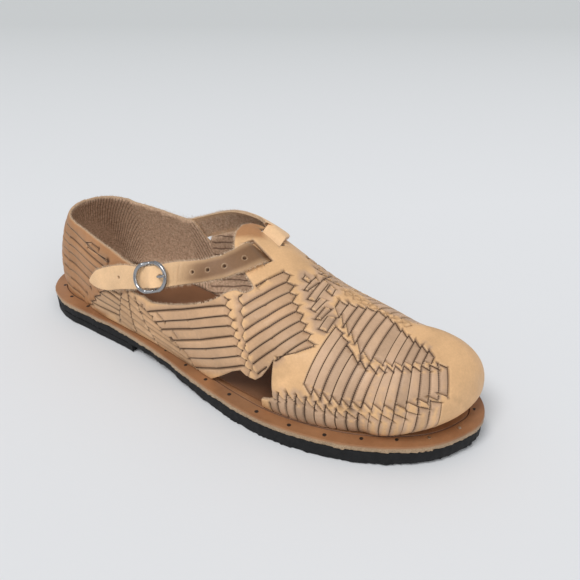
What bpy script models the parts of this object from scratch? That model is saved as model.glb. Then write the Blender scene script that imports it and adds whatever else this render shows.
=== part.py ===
# Huarache sandal, right shoe: woven leather upper on a nailed leather and rubber sole.
# Metres, +X to the toe, +Y to the inner side of the foot, +Z up, standing on Z = 0.
import bpy
import bmesh
import numpy as np
from math import atan2, cos, hypot, pi, sin
from mathutils import Vector, geometry

MM = 0.001

# Driving sizes of the last and the sole
LENGTH = 296 * MM
BALL_WIDTH = 100 * MM
INSTEP_HEIGHT = 70 * MM
COUNTER_HEIGHT = 53 * MM

# Layers of the sole
LEATHER = 4.0 * MM
RUBBER_SHANK = 5.2 * MM
HEEL_LIFT = 5.2 * MM
RUBBER_FORE = 7.9 * MM
TOE_SPRING = 2.2 * MM
INSOLE = 1.2 * MM
FIT = 0.3 * MM

# Leather of the upper, the strap and the metal of the buckle
WALL = 2.2 * MM
GROOVE = 0.8 * MM
GROOVE_HALF = 0.75
STRAP = 2.0 * MM
STRAP_HALF = 7.2
WIRE = 1.1 * MM
PRONG = 0.8 * MM
PRONG_HOLE = 1.35 * MM

# The chart is the last unrolled: X runs 0 to CHART from heel to toe, and the
# distance from the ridge line runs 0 at the ridge to FEATHER at the feather edge.
CHART = 296
UNIT = LENGTH / CHART
HEEL_CENTRE = 40
TOE_CENTRE = 250
HEEL_ARC = 52
TOE_ARC = 61
FEATHER = 100

# Widths are shares of BALL_WIDTH from the centre line, heights shares of
# INSTEP_HEIGHT above the leather sole. A row for each section of the last.
SECTION = ("station", "feather_out", "wide_out", "feather_in", "wide_in", "crest", "crest_y",
           "power_out", "power_in", "wide_z")
LAST = (
    (40, 0.305, 0.318, 0.275, 0.300, 1.104, 0.00, 2.05, 2.05, 0.16),
    (60, 0.355, 0.368, 0.290, 0.325, 1.133, 0.00, 2.10, 2.10, 0.19),
    (85, 0.375, 0.395, 0.285, 0.340, 1.165, 0.00, 2.15, 2.15, 0.22),
    (110, 0.385, 0.415, 0.270, 0.350, 1.155, 0.00, 2.20, 2.20, 0.25),
    (135, 0.410, 0.435, 0.290, 0.365, 1.105, 0.00, 2.20, 2.10, 0.28),
    (160, 0.440, 0.470, 0.335, 0.395, 1.020, 0.01, 2.15, 1.95, 0.27),
    (185, 0.460, 0.505, 0.385, 0.425, 0.897, 0.02, 2.10, 1.60, 0.25),
    (205, 0.460, 0.515, 0.420, 0.445, 0.804, 0.03, 2.10, 1.38, 0.24),
    (225, 0.430, 0.490, 0.440, 0.460, 0.726, 0.04, 2.15, 1.35, 0.225),
    (240, 0.375, 0.440, 0.425, 0.445, 0.676, 0.05, 2.20, 1.33, 0.225),
    (250, 0.325, 0.390, 0.400, 0.420, 0.647, 0.05, 2.25, 1.33, 0.225),
)
# Back of the heel: height as a share of COUNTER_HEIGHT, distance from X = 0
# in units of the chart.
HEEL_BACK = ((0.0, 8.9), (0.2, 7.1), (0.44, 7.4), (0.70, 10.4),
             (0.89, 13.9), (1.0, 16.9), (1.23, 24.9), (1.46, 35.5))
HEEL_POWER = 2.2
# The toe: reach of its nose and of its feather edge along the chart, side lean,
# roundness and height of the nose, and how far back the inner half stays steep
TOE_REACH = 291
TOE_FEATHER = 275
TOE_LEAN = 0.08
TOE_POWER = 2.25
TOE_NOSE = 0.175
TOE_OUTLINE = 2.1
TOE_BLEND_OUT = 2
TOE_BLEND_IN = 5

# Outline of the sole: place along the chart, outer and inner share of BALL_WIDTH
SOLE = (
    (0, 0.0, 0.0), (3.6, 0.183, 0.149), (13.3, 0.306, 0.270), (29.6, 0.373, 0.340),
    (50.3, 0.385, 0.360), (82.9, 0.392, 0.340), (118.4, 0.429, 0.335), (148, 0.484, 0.370),
    (177.6, 0.531, 0.450), (201.3, 0.545, 0.510), (225, 0.511, 0.533), (248.6, 0.437, 0.506),
    (269.4, 0.322, 0.423), (284.2, 0.190, 0.320), (293, 0.035, 0.207), (296, -0.09, 0.09),
)
SOLE_STEPS = 84
BREAST = 93.2
SHANK_START = 106.6
SHANK_END = 177.6
ARCH_START = 74
ARCH_END = 171.7
SPRING_START = 219
SPRING_END = 296

# Edges on the chart, drawn as for the outer side, where Y is negative
# Back of the rim: share of the heel's arc from its back, girth
HEEL_RIM = ((0, 38.3), (0.13, 38.4), (0.29, 38.8), (0.44, 39.4), (0.60, 40.2), (0.75, 41))
RIM_OUT = ((36, -42), (47, -43.8), (66.6, -48), (78.5, -50.4), (89.6, -53))
RIM_IN = ((36, -42), (47, -43.8), (66.6, -48.2), (78.5, -50), (86, -50.2))
BILLET_OUT = ((98.6, -53.6), (110.3, -49.4), (115.4, -60.8), (106, -64.6), (96, -69.4))
BILLET_IN = ((90, -54), (94, -60.5), (97.5, -63.2))
WING_TOP_OUT = ((101, -70.1), (109, -69.4), (115, -70.2), (122.7, -67.8), (134.6, -63.3),
                (145.6, -58.1), (155.3, -52.6), (160.8, -48), (163.9, -44.2), (166.4, -41),
                (170, -38.2), (173.7, -38), (176, -36.5), (178, -33))
WING_TOP_IN = ((100, -59.0), (103, -57.2), (108, -54.2), (114, -50.8), (118, -48.3), (121, -47.4),
               (125, -48.2), (131, -49.8), (136, -48),
               (146, -44.4), (154, -41.4), (160.8, -39), (166, -37.4), (170, -36.6), (173.7, -36.2),
               (176, -35.2), (178, -32.8))
TAB_EDGE = ((176, -30.8), (170.5, -28.4), (163, -24), (157, -19), (153, -13.2), (150, -7))
TAB_END = (148.7, 0)
SPINE_GAP = ((160, -100), (169, -91.4), (179.5, -81), (185.2, -77), (189.3, -78.4),
             (195.3, -77.6), (198.6, -74), (201.8, -66.8), (203.4, -61), (204.6, -70),
             (206.4, -84.6), (203, -87.5), (198.5, -90), (196.5, -100))
# Slots of the tab on the outer and the inner side
SLOT_OUT = ((159.2, -9.2), (175.6, -14.2))
SLOT_IN = ((155.8, 9.0), (172.6, 4.9))
SLOT_HALF = 3.3


def smooth(table, x, column=1):
    """Cubic through the rows of a table, with slopes from the neighbouring rows."""
    xs = [row[0] for row in table]
    ys = [row[column] for row in table]
    last = len(xs) - 1

    def slope(k):
        if k == 0:
            return (ys[1] - ys[0]) / (xs[1] - xs[0])
        if k == last:
            return (ys[last] - ys[last - 1]) / (xs[last] - xs[last - 1])
        before, after = xs[k] - xs[k - 1], xs[k + 1] - xs[k]
        rise_before = (ys[k] - ys[k - 1]) / before
        rise_after = (ys[k + 1] - ys[k]) / after
        return (rise_before * after + rise_after * before) / (before + after)

    if x <= xs[0]:
        return ys[0] + slope(0) * (x - xs[0])
    if x >= xs[last]:
        return ys[last] + slope(last) * (x - xs[last])
    k = max(i for i in range(last) if xs[i] <= x)
    span = xs[k + 1] - xs[k]
    t = (x - xs[k]) / span
    start, end = slope(k) * span, slope(k + 1) * span
    return (((2 * t - 3) * t * t + 1) * ys[k] + ((t - 2) * t + 1) * t * start
            + (3 - 2 * t) * t * t * ys[k + 1] + (t - 1) * t * t * end)


def ramp(x, start, end):
    """0 before start, 1 after end, with level ends."""
    t = min(max((x - start) / (end - start), 0), 1)
    return t * t * (3 - 2 * t)


def spring(station):
    """Lift of the toe at a place along the chart."""
    t = min(max((station - SPRING_START) / (SPRING_END - SPRING_START), 0), 1)
    return TOE_SPRING * t * t


HEEL_TOP = HEEL_LIFT + RUBBER_SHANK + LEATHER + FIT
FORE_TOP = RUBBER_FORE + LEATHER + FIT


def leather_top(x):
    """Height of the leather sole's top face."""
    station = x / UNIT
    return HEEL_TOP + (FORE_TOP - HEEL_TOP) * ramp(station, ARCH_START, ARCH_END) + spring(station)


def leather_bottom(x):
    """Height of the leather sole's under face."""
    return leather_top(x) - LEATHER


def rubber_top(x):
    """Height of the outsole's top face, one fit below the leather."""
    return leather_bottom(x) - FIT


def rubber_bottom(x):
    """Under face of the outsole: raised at heel and shank, on the floor at the ball."""
    station = x / UNIT
    raised = rubber_top(0) - RUBBER_SHANK
    return raised * (1 - ramp(station, SHANK_START, SHANK_END)) + spring(station)


# Surface of the last
SEAT = HEEL_TOP + FIT
ARC_STEPS = 30
TUCK_STEPS = 10
LOOP_STEP = 1.0
GIRTH_STEPS = 200


def section(station, name):
    """Value of one named column of the last's table at a station."""
    return smooth(LAST, station, SECTION.index(name))


def quarter(wide, feather, wide_z, crest_z, floor_z, power):
    """Half a section: superellipse from the crest to the widest, then tucked in to the feather."""
    rows = []
    for i in range(ARC_STEPS + 1):
        angle = i / ARC_STEPS * pi / 2
        rows.append((wide * sin(angle) ** (2 / power),
                     wide_z + (crest_z - wide_z) * max(cos(angle), 0) ** (2 / power)))
    for i in range(1, TUCK_STEPS + 1):
        share = i / TUCK_STEPS
        rows.append((wide - (wide - feather) * share * share, wide_z - (wide_z - floor_z) * share))
    return rows


def oval(side, front, s, c, power):
    """Radius of a superellipse in the direction with sine s and cosine c."""
    return ((abs(s) / side) ** power + (abs(c) / front) ** power) ** (-1 / power)


def section_rows(station, side):
    """Half section at a station, on the outer side (-1) or the inner side (1)."""
    word = "out" if side < 0 else "in"
    centre = section(station, "crest_y") * BALL_WIDTH
    wide = section(station, "wide_" + word) * BALL_WIDTH - side * centre
    feather = section(station, "feather_" + word) * BALL_WIDTH - side * centre
    floor = leather_top(station * UNIT) + FIT
    wide_z = floor + section(station, "wide_z") * INSTEP_HEIGHT
    crest_z = floor + section(station, "crest") * INSTEP_HEIGHT
    return quarter(wide, feather, wide_z, crest_z, floor, section(station, "power_" + word)), centre


def rib(loop, side):
    """Points from the ridge to the feather edge at a place on the loop round the last."""
    if loop < HEEL_CENTRE:
        rows, centre = section_rows(HEEL_CENTRE, side)
        angle = (HEEL_CENTRE - loop) / HEEL_ARC * pi / 2
        s, c = cos(angle), sin(angle)
        points = []
        for r, z in rows:
            back = (HEEL_CENTRE - smooth(HEEL_BACK, (z - SEAT) / COUNTER_HEIGHT)) * UNIT
            near = min(1, r / (0.2 * BALL_WIDTH))
            reach = oval(max(r, 1e-5), max(back, 1e-5) * near + 1e-5, s, c, HEEL_POWER)
            points.append((HEEL_CENTRE * UNIT - c * reach, side * s * reach, z))
        return points
    if loop <= TOE_CENTRE:
        rows, centre = section_rows(loop, side)
        return [(loop * UNIT, centre + side * r, z) for r, z in rows]
    angle = (loop - TOE_CENTRE) / TOE_ARC * pi / 2
    s, c = cos(angle), sin(angle)
    centre = section(TOE_CENTRE, "crest_y") * BALL_WIDTH
    word = "out" if side < 0 else "in"
    reach = (TOE_REACH - TOE_CENTRE) * UNIT
    wide = oval(section(TOE_CENTRE, "wide_" + word) * BALL_WIDTH - side * centre, reach, s, c, TOE_OUTLINE)
    feather = oval(section(TOE_CENTRE, "feather_" + word) * BALL_WIDTH - side * centre,
                   (TOE_FEATHER - TOE_CENTRE) * UNIT, s, c, TOE_OUTLINE)
    power = section(TOE_CENTRE, "power_" + word)
    power += (TOE_POWER - power) * c ** (TOE_BLEND_OUT if side < 0 else TOE_BLEND_IN)
    nose = section(TOE_CENTRE, "wide_z")
    nose += (TOE_NOSE - nose) * c * c
    base = leather_top(TOE_CENTRE * UNIT) + FIT
    floor = leather_top(TOE_CENTRE * UNIT + c * feather) + FIT
    rows = quarter(wide, feather, floor + nose * INSTEP_HEIGHT,
                   base + section(TOE_CENTRE, "crest") * INSTEP_HEIGHT, floor, power)
    lean = TOE_LEAN * BALL_WIDTH * c * c / reach
    return [(TOE_CENTRE * UNIT + c * r, centre + side * s * r + lean * r, z) for r, z in rows]


def build_grid():
    """Grids of points and normals of the last: side, place on the loop, girth."""
    loops = np.arange(HEEL_CENTRE - HEEL_ARC, TOE_CENTRE + TOE_ARC + LOOP_STEP / 2, LOOP_STEP)
    girth = np.linspace(0, 1, GIRTH_STEPS + 1)
    grids = []
    for side in (-1, 1):
        heel = np.array(rib(HEEL_CENTRE, side))
        heel_run = np.r_[0, np.cumsum(np.linalg.norm(np.diff(heel, axis=0), axis=1))]
        ribs = []
        for loop in loops:
            points = np.array(rib(loop, side))
            run = np.r_[0, np.cumsum(np.linalg.norm(np.diff(points, axis=0), axis=1))]
            if loop < HEEL_CENTRE:
                run = heel_run
            ribs.append([[np.interp(g * run[-1], run, points[:, i]) for i in range(3)] for g in girth])
        grids.append(np.array(ribs))
    points = np.array(grids)
    along = np.gradient(points, axis=1)
    across = np.gradient(points, axis=2)
    normals = np.cross(along, across)
    normals[0] *= -1
    size = np.linalg.norm(normals, axis=3, keepdims=True)
    normals = np.where(size > 1e-14, normals / np.maximum(size, 1e-14), 0)
    for row in range(points.shape[1]):
        first = normals[0, row, 2] + normals[1, row, 2]
        if loops[row] > TOE_CENTRE:
            first = np.array((0.12, 0, 1.0))
        normals[:, row, 0] = first / np.linalg.norm(first)
        normals[:, row, 1] = normals[:, row, 0] + normals[:, row, 2]
        normals[:, row, 1] /= np.linalg.norm(normals[:, row, 1], axis=1, keepdims=True)
    return loops, points, normals


LOOPS, POINTS, NORMALS = build_grid()


def to_loop(x, y):
    """Side, place on the loop and girth share of a chart point."""
    side = 0 if y < 0 else 1
    y = abs(y)
    if x < HEEL_CENTRE:
        loop = HEEL_CENTRE - atan2(HEEL_CENTRE - x, y) / (pi / 2) * HEEL_ARC
        return side, loop, hypot(HEEL_CENTRE - x, y) / FEATHER
    if x > TOE_CENTRE:
        loop = TOE_CENTRE + atan2(x - TOE_CENTRE, y) / (pi / 2) * TOE_ARC
        return side, loop, hypot(x - TOE_CENTRE, y) / FEATHER
    return side, x, y / FEATHER


def chart(loop, girth, side=-1):
    """Chart point at a place on the loop and a girth from 0 to 100."""
    if loop < HEEL_CENTRE:
        angle = (HEEL_CENTRE - loop) / HEEL_ARC * pi / 2
        return HEEL_CENTRE - girth * sin(angle), side * girth * cos(angle)
    if loop > TOE_CENTRE:
        angle = (loop - TOE_CENTRE) / TOE_ARC * pi / 2
        return TOE_CENTRE + girth * sin(angle), side * girth * cos(angle)
    return loop, side * girth


def on_last(x, y, level=0.0):
    """Point of the last's surface at a chart point, raised by level along the normal."""
    side, loop, girth = to_loop(x, y)
    row = min(max((loop - LOOPS[0]) / LOOP_STEP, 0), len(LOOPS) - 1.001)
    col = min(max(girth * GIRTH_STEPS, 0), GIRTH_STEPS - 0.001)
    i, j = int(row), int(col)
    a, b = row - i, col - j

    def mix(grid):
        return ((grid[side, i, j] * (1 - a) + grid[side, i + 1, j] * a) * (1 - b)
                + (grid[side, i, j + 1] * (1 - a) + grid[side, i + 1, j + 1] * a) * b)

    normal = mix(NORMALS)
    return Vector(mix(POINTS) + normal / np.linalg.norm(normal) * level)


def mirrored(points):
    """The same chart points on the other side of the foot."""
    return [(x, -y) for x, y in points]


def walk(points, step, closed=False):
    """Chart line with a point about every step, keeping its corners."""
    path = list(points) + ([points[0]] if closed else [])
    rows = []
    for (ax, ay), (bx, by) in zip(path, path[1:]):
        count = max(1, int(round(hypot(bx - ax, by - ay) / step)))
        rows += [(ax + (bx - ax) * i / count, ay + (by - ay) * i / count) for i in range(count)]
    return rows if closed else rows + [path[-1]]


# Weave of the upper, drawn as grooves on the chart

ROW_A = (5.0, 204.4, 284)
ROW_A_TOP = ((198, 90), (206, 84), (214, 79), (250, 78.5), (262, 73), (284, 58))
ROW_C = (4.75, 221.8, 284)
# Forward lean of the row's strips and the places between which it grows
ROW_C_LEAN, LEAN_FROM, LEAN_TO = 4, 258, 282
ROW_C_BOTTOM = ((220, 69.5), (252, 69.5), (262, 65.5), (272, 60), (284, 56))
ROW_C_TOP = ((205, 14), (212.7, 20.5), (217, 25), (221.8, 29), (231, 37), (240, 44), (248, 45.5),
             (255, 42), (264, 39.2), (284, 38.2))
ROW_E = (4.9, 214.5, 279)
ROW_E_TOP = ((214, 10.5), (220, 9.5), (226, 7.5), (231, 5.5), (237, 4.5), (245, 6), (252, 9),
             (258, 12.5), (264, 15), (279, 17.2))
ROW_E_BOTTOM = ((214, 14.5), (220, 19), (226, 24), (231, 29), (237, 36), (245, 40), (252, 40),
                (258, 38.3), (264, 35), (270, 30), (279, 21.5))
TOOTH = 2.3
# Diagonal strips from the spine to the instep: rear and front ends of their seams
STRIP_REAR = ((177.2, -43.8), (179.9, -49.2), (183, -55), (185.5, -60.5), (188.9, -65.5),
              (192.4, -69.6), (196.2, -73.0))
STRIP_FRONT = ((188.4, -19.1), (193.3, -23.2), (197.4, -28), (201.4, -31.6), (206.1, -35.7),
               (209.9, -40), (214.6, -43.7))
STRIP_CORNER = ((187.6, -13.2), (193.2, -18.1), (197.6, -23.2), (201.8, -28), (206.5, -31.4),
                (210.6, -36.1), (215, -40))
# Long strips of the wing: seams from the braid to the spine
WING_REAR = ((111, -77.3), (118.2, -80.8), (124, -84.2), (132, -87), (137, -90.4),
             (142.5, -93.6), (149, -97.6))
SPINE_REAR = ((164.2, -46.5), (191.5, -78))
SPINE_FRONT = ((173, -40.5), (177.2, -43.8), (196.2, -73.6))
BRAID = ((88.5, -76, 84.5, -96), (95, -72, 98, -97), (101.5, -73, 116, -97), (107.5, -74.2, 149, -98.5))
BRAID_ROWS = (4, 4, 5)
FAN_TIPS = ((71.2, -76.7), (67, -81.3), (60.7, -86.9), (54.9, -93.4))
WRAPS = 8
WRAP_BACK = (40.5, 93)
WRAP_STEM = ((76, -57), (74, -61.5), (71.4, -65.6), (67, -71), (62, -76), (56.4, -81.1),
             (49.5, -89.5), (43, -97.5))


INNER_STRIPS = (
    ((98.5, -66.5), (112, -66), (130, -59.5), (150, -51), (163.5, -44.6)),
    ((99.5, -71), (108, -72), (122, -69.6), (140, -62.5), (156, -54), (165, -48.5)),
)


def between(a, b, t):
    """Point at share t from a to b."""
    return a[0] + (b[0] - a[0]) * t, a[1] + (b[1] - a[1]) * t


def on_heel(share, girth):
    """Chart point round the heel: share 0 at its back, 1 at the side."""
    return chart(HEEL_CENTRE - HEEL_ARC * (1 - share), girth)


def toothed(row, edge, sign, lean=0.0):
    """Saw-toothed end line of a row of strips, and the valleys where its seams end."""
    step, first, end = row
    count = int((end - first) / step)
    line, valleys = [], []
    for k in range(count + 1):
        place = first + k * step
        valley = chart(place + lean, smooth(edge, place) + sign * TOOTH / 2)
        valleys.append(valley)
        line.append(valley)
        if k < count:
            tip = place + 0.38 * step
            line.append(chart(tip + lean, smooth(edge, tip) - sign * TOOTH / 2))
    return line, valleys


def row_lean(place):
    """How far the top of a strip of the front row leans forward at a place."""
    return ROW_C_LEAN * ramp(place, LEAN_FROM, LEAN_TO)


def vamp_seams():
    """Grooves of the vamp's outer half."""
    seams = []
    top, valleys = toothed(ROW_A, ROW_A_TOP, 1)
    seams.append(top)
    for k, valley in enumerate(valleys):
        place = ROW_A[1] + k * ROW_A[0]
        seams.append([valley, chart(place - 1.2, FEATHER - 1.6)])
    bottom, low = toothed(ROW_C, ROW_C_BOTTOM, -1)
    seams.append(bottom)
    step, first, end = ROW_C
    for k, valley in enumerate(low):
        place = first + k * step
        lean = row_lean(place)
        high = chart(place + lean, smooth(ROW_C_TOP, place) + TOOTH / 2)
        seams.append([valley, high])
        if k + 1 < len(low):
            tip = place + 0.45 * step
            peak = chart(tip + lean, smooth(ROW_C_TOP, tip) - TOOTH / 2)
            after = place + step
            lean_after = row_lean(after)
            seams.append([high, peak, chart(after + lean_after, smooth(ROW_C_TOP, after) + TOOTH / 2)])
    for k in (1, 2, 3):
        place = first - k * step
        girth = smooth(ROW_C_TOP, place)
        block = [chart(place, girth), chart(place + 3.9, girth - 1.2), chart(place + 3.6, girth + 9.5),
                 chart(place, girth + 10), chart(place, girth)]
        seams.append(block)
    step, first, end = ROW_E
    place = first
    while place < end:
        high, low_girth = smooth(ROW_E_TOP, place), smooth(ROW_E_BOTTOM, place)
        seams.append([(place, -high - TOOTH / 2), (place, -low_girth)])
        after = place + step
        if after < end:
            next_high, next_low = smooth(ROW_E_TOP, after), smooth(ROW_E_BOTTOM, after)
            seams.append([(place, -high - TOOTH / 2), (place + 0.35 * step, -high + TOOTH / 2),
                          (after, -next_high - TOOTH / 2)])
            seams.append([(place, -low_girth), (place + 0.6 * step, -(low_girth + next_low) / 2 - TOOTH),
                          (after, -next_low)])
        place = after
    return seams


def quarter_seams():
    """Grooves of the spine, the diagonal strips, the wing, the braid and the fan."""
    seams = []
    for rear, front in zip(STRIP_REAR, STRIP_FRONT):
        seams.append([rear, front])
    steps = [(183.5, -14.2)]
    for corner, front in zip(STRIP_CORNER, STRIP_FRONT):
        steps += [corner, front]
    seams.append(steps + [(219, -44.6)])
    seams.append([(179.2, -31.2), (183.5, -14.2)])
    seams.append([(204.6, -59.4), (212.5, -52.5), (219, -44.6)])
    rear, front = [], []
    count = len(WING_REAR) + 1
    for k in range(1, count):
        seam = between(SPINE_REAR[0], SPINE_REAR[1], k / count)
        tip = (seam[0] + 2.3, seam[1] + 1.4)
        rear += [(seam[0] - 0.6, seam[1] + 1.6), tip, seam]
        seams.append([WING_REAR[k - 1], (WING_REAR[k - 1][0] + 8, WING_REAR[k - 1][1] + 2.6), seam])
    seams.append([between(SPINE_REAR[0], SPINE_REAR[1], 0.04)] + rear + [(189.6, -75.8)])
    for k, point in enumerate(STRIP_REAR):
        front += [(point[0] - 2.4, point[1] - 0.2), point]
    seams.append([(174.5, -40.6)] + front)
    for index, (ax, ay, bx, by) in enumerate(BRAID):
        seams.append([(ax, ay), (bx, by)])
        if index:
            left = BRAID[index - 1]
            rows = BRAID_ROWS[index - 1]
            for k in range(rows):
                share = (k + 0.5 * (index % 2) + 0.3) / rows
                if share < 0.97:
                    seams.append([between(left[:2], left[2:], share), between((ax, ay), (bx, by), share)])
    for k, tip in enumerate(FAN_TIPS):
        first = BRAID[0]
        seams.append([tip, between(first[:2], first[2:], (k + 0.4) / len(FAN_TIPS))])
    return seams


def heel_seams():
    """Grooves of the strips wrapped round the heel, outer half."""
    seams = []
    for k in range(WRAPS):
        back = WRAP_BACK[0] + (WRAP_BACK[1] - WRAP_BACK[0]) * k / (WRAPS - 1)
        if k == 0:
            seams.append([(50, -51.5), WRAP_STEM[0]])
            continue
        path = [on_heel(1e-3, back), on_heel(0.385, back + 1), on_heel(0.69, back + 3.2)]
        seams.append(path + [between(path[-1], WRAP_STEM[k], 0.5), WRAP_STEM[k]])
    return seams


def all_seams():
    """Grooves of both sides; the inner wing reaches higher and has two strips more."""
    outer = vamp_seams() + quarter_seams() + heel_seams()
    inner = [mirrored(seam) for seam in outer + [list(seam) for seam in INNER_STRIPS]]
    return outer + inner


# Edges of the upper on the chart

EDGE_STEP = 5.7
SEAM_STEP = 8.0
FILL_STEP = 10.5
LINING_STEP = 15.0


def feather_run(start, end, step):
    """Chart points along the feather edge."""
    count = max(1, int(round((end - start) / step)))
    return [chart(start + (end - start) * i / count, FEATHER) for i in range(count + 1)]


def feather_loop():
    """Outer edge of the chart with the gaps under the two spines."""
    heel = HEEL_CENTRE - HEEL_ARC
    toe = TOE_CENTRE + TOE_ARC
    half = feather_run(heel, SPINE_GAP[0][0], EDGE_STEP) + walk(SPINE_GAP[1:-1], EDGE_STEP)
    half += feather_run(SPINE_GAP[-1][0], toe, EDGE_STEP)
    return half + mirrored(half)[-2:0:-1]


def collar_loop():
    """Edge of the collar, the side openings and the tab."""
    heel = [on_heel(share, girth) for share, girth in HEEL_RIM]
    outer = heel[1:] + list(RIM_OUT) + list(BILLET_OUT) + list(WING_TOP_OUT) + list(TAB_EDGE)
    inner = heel[1:] + list(RIM_IN) + list(BILLET_IN) + list(WING_TOP_IN) + list(TAB_EDGE)
    path = [heel[0]] + outer + [TAB_END] + mirrored(inner)[::-1]
    return walk(path, EDGE_STEP, closed=True)


def slot_loop(slot):
    """A slot in the tab, for the strap."""
    (ax, ay), (bx, by) = slot
    size = hypot(bx - ax, by - ay)
    nx, ny = -(by - ay) / size * SLOT_HALF, (bx - ax) / size * SLOT_HALF
    corners = [(ax + nx, ay + ny), (bx + nx, by + ny), (bx - nx, by - ny), (ax - nx, ay - ny)]
    return walk(corners, EDGE_STEP, closed=True)


def inside(loops, points):
    """Whether each point lies inside the loops, by the even and odd rule."""
    odd = np.zeros(len(points), dtype=bool)
    px, py = points[:, 0], points[:, 1]
    for loop in loops:
        ring = np.array(loop)
        for (ax, ay), (bx, by) in zip(ring, np.roll(ring, -1, axis=0)):
            if ay == by:
                continue
            crosses = (ay > py) != (by > py)
            odd ^= crosses & (px < (bx - ax) * (py - ay) / (by - ay) + ax)
    return odd


def distances(points, lines):
    """Distance of each point to the nearest of the lines."""
    best = np.full(len(points), 1e9)
    for line in lines:
        ring = np.array(line)
        for a, b in zip(ring, ring[1:]):
            run = b - a
            share = np.clip(((points - a) @ run) / max(run @ run, 1e-12), 0, 1)
            near = a + share[:, None] * run
            best = np.minimum(best, np.hypot(*(points - near).T))
    return best


def fill_points(loops, step):
    """Staggered grid of chart points inside the loops."""
    corners = np.array(loops[0])
    low, high = corners.min(axis=0), corners.max(axis=0)
    rows = []
    y, odd = low[1], 0
    while y < high[1]:
        xs = np.arange(low[0] + odd * step / 2, high[0], step)
        rows += [(x, y) for x in xs]
        y += step * 0.87
        odd = 1 - odd
    points = np.array(rows)
    return points[inside(loops, points)]


def triangulate(loops, lines, extra):
    """Triangles of the region inside the loops, with the lines as edges."""
    verts, edges = [], []
    for loop in loops:
        start = len(verts)
        verts += [Vector(p) for p in loop]
        edges += [(start + i, start + (i + 1) % len(loop)) for i in range(len(loop))]
    for line in lines:
        start = len(verts)
        verts += [Vector(p) for p in line]
        edges += [(start + i, start + i + 1) for i in range(len(line) - 1)]
    verts += [Vector(p) for p in extra]
    out = geometry.delaunay_2d_cdt(verts, edges, [], 0, 0.02, False)
    points = np.array([tuple(v) for v in out[0]])
    faces = np.array([f for f in out[2]])
    keep = inside(loops, points[faces].mean(axis=1))
    return points, faces[keep]


def rim_edges(faces):
    """Edges used by one face only, in the face's direction."""
    seen = {}
    for a, b, c in faces:
        for edge in ((a, b), (b, c), (c, a)):
            seen[edge] = True
    return [edge for edge in seen if (edge[1], edge[0]) not in seen]


def ring_points(lines, loops, offset):
    """Points beside the seams, dropped where another seam or an edge is nearer."""
    rows = []
    for line in lines:
        for (ax, ay), (bx, by) in zip(line, line[1:]):
            size = hypot(bx - ax, by - ay)
            if size < 1e-6:
                continue
            nx, ny = -(by - ay) / size * offset, (bx - ax) / size * offset
            mx, my = (ax + bx) / 2, (ay + by) / 2
            rows += [(mx + nx, my + ny), (mx - nx, my - ny)]
    points = np.array(rows)
    points = points[inside(loops, points)]
    points = points[distances(points, lines) > offset * 0.93]
    edges = [list(loop) + [loop[0]] for loop in loops]
    points = points[distances(points, edges) > 1.0]
    kept = []
    for p in points:
        if all(abs(p[0] - q[0]) + abs(p[1] - q[1]) > 1.3 for q in kept[-400:]):
            kept.append(p)
    return np.array(kept)


def make_upper():
    """One hollow wall: outer face with grooved strips, lining face and edges."""
    loops = [feather_loop(), collar_loop(), slot_loop(SLOT_OUT), slot_loop(SLOT_IN)]
    edges = [loop + [loop[0]] for loop in loops]
    lines = []
    for seam in all_seams():
        path = np.array(walk(seam, SEAM_STEP))
        good = inside(loops, path) & (distances(path, edges) > 1.1)
        run = []
        for p, ok in zip(path, good):
            if ok:
                run.append(tuple(p))
            elif len(run) > 1:
                lines.append(run)
                run = []
            else:
                run = []
        if len(run) > 1:
            lines.append(run)
    rings = ring_points(lines, loops, GROOVE_HALF * 1.25)
    fill = fill_points(loops, FILL_STEP)
    fill = fill[(distances(fill, lines) > FILL_STEP * 0.45) & (distances(fill, edges) > FILL_STEP * 0.4)]
    points, faces = triangulate(loops, lines, list(rings) + list(fill))
    near = distances(points, lines)
    level = np.where(near < 0.25, -GROOVE, 0.0)
    outer_edges = rim_edges(faces)
    used = sorted({v for face in faces for v in face})
    mesh = bmesh.new()
    outer = {v: mesh.verts.new(on_last(points[v][0], points[v][1], level[v])) for v in used}
    for a, b, c in faces:
        mesh.faces.new((outer[a], outer[b], outer[c]))
    chains = chain(outer_edges)
    rings = [[tuple(points[v]) for v in ring] for ring in chains]
    fill = fill_points(rings, LINING_STEP) if len(rings[0]) > 40 else []
    ring_edges = [ring + [ring[0]] for ring in rings]
    fill = fill[distances(fill, ring_edges) > LINING_STEP * 0.35]
    inner_points, inner_faces = triangulate(rings, [], fill)
    inner = {}
    for v in sorted({v for face in inner_faces for v in face}):
        inner[v] = mesh.verts.new(on_last(inner_points[v][0], inner_points[v][1], -WALL))
    for a, b, c in inner_faces:
        mesh.faces.new((inner[c], inner[b], inner[a]))
    rim = {v for edge in rim_edges(inner_faces) for v in edge}
    place = {(round(inner_points[v][0], 3), round(inner_points[v][1], 3)): inner[v] for v in rim}
    for a, b in outer_edges:
        ia = place[(round(points[a][0], 3), round(points[a][1], 3))]
        ib = place[(round(points[b][0], 3), round(points[b][1], 3))]
        mesh.faces.new((outer[b], outer[a], ia, ib))
    return finish("upper", mesh, "leather_tan")


def chain(edges):
    """Closed rings from directed edges, the longest first."""
    after = {a: b for a, b in edges}
    rings = []
    while after:
        start = next(iter(after))
        ring, here = [], start
        while here in after:
            ring.append(here)
            here = after.pop(here)
        rings.append(ring)
    return sorted(rings, key=len, reverse=True)


# Sole

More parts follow.
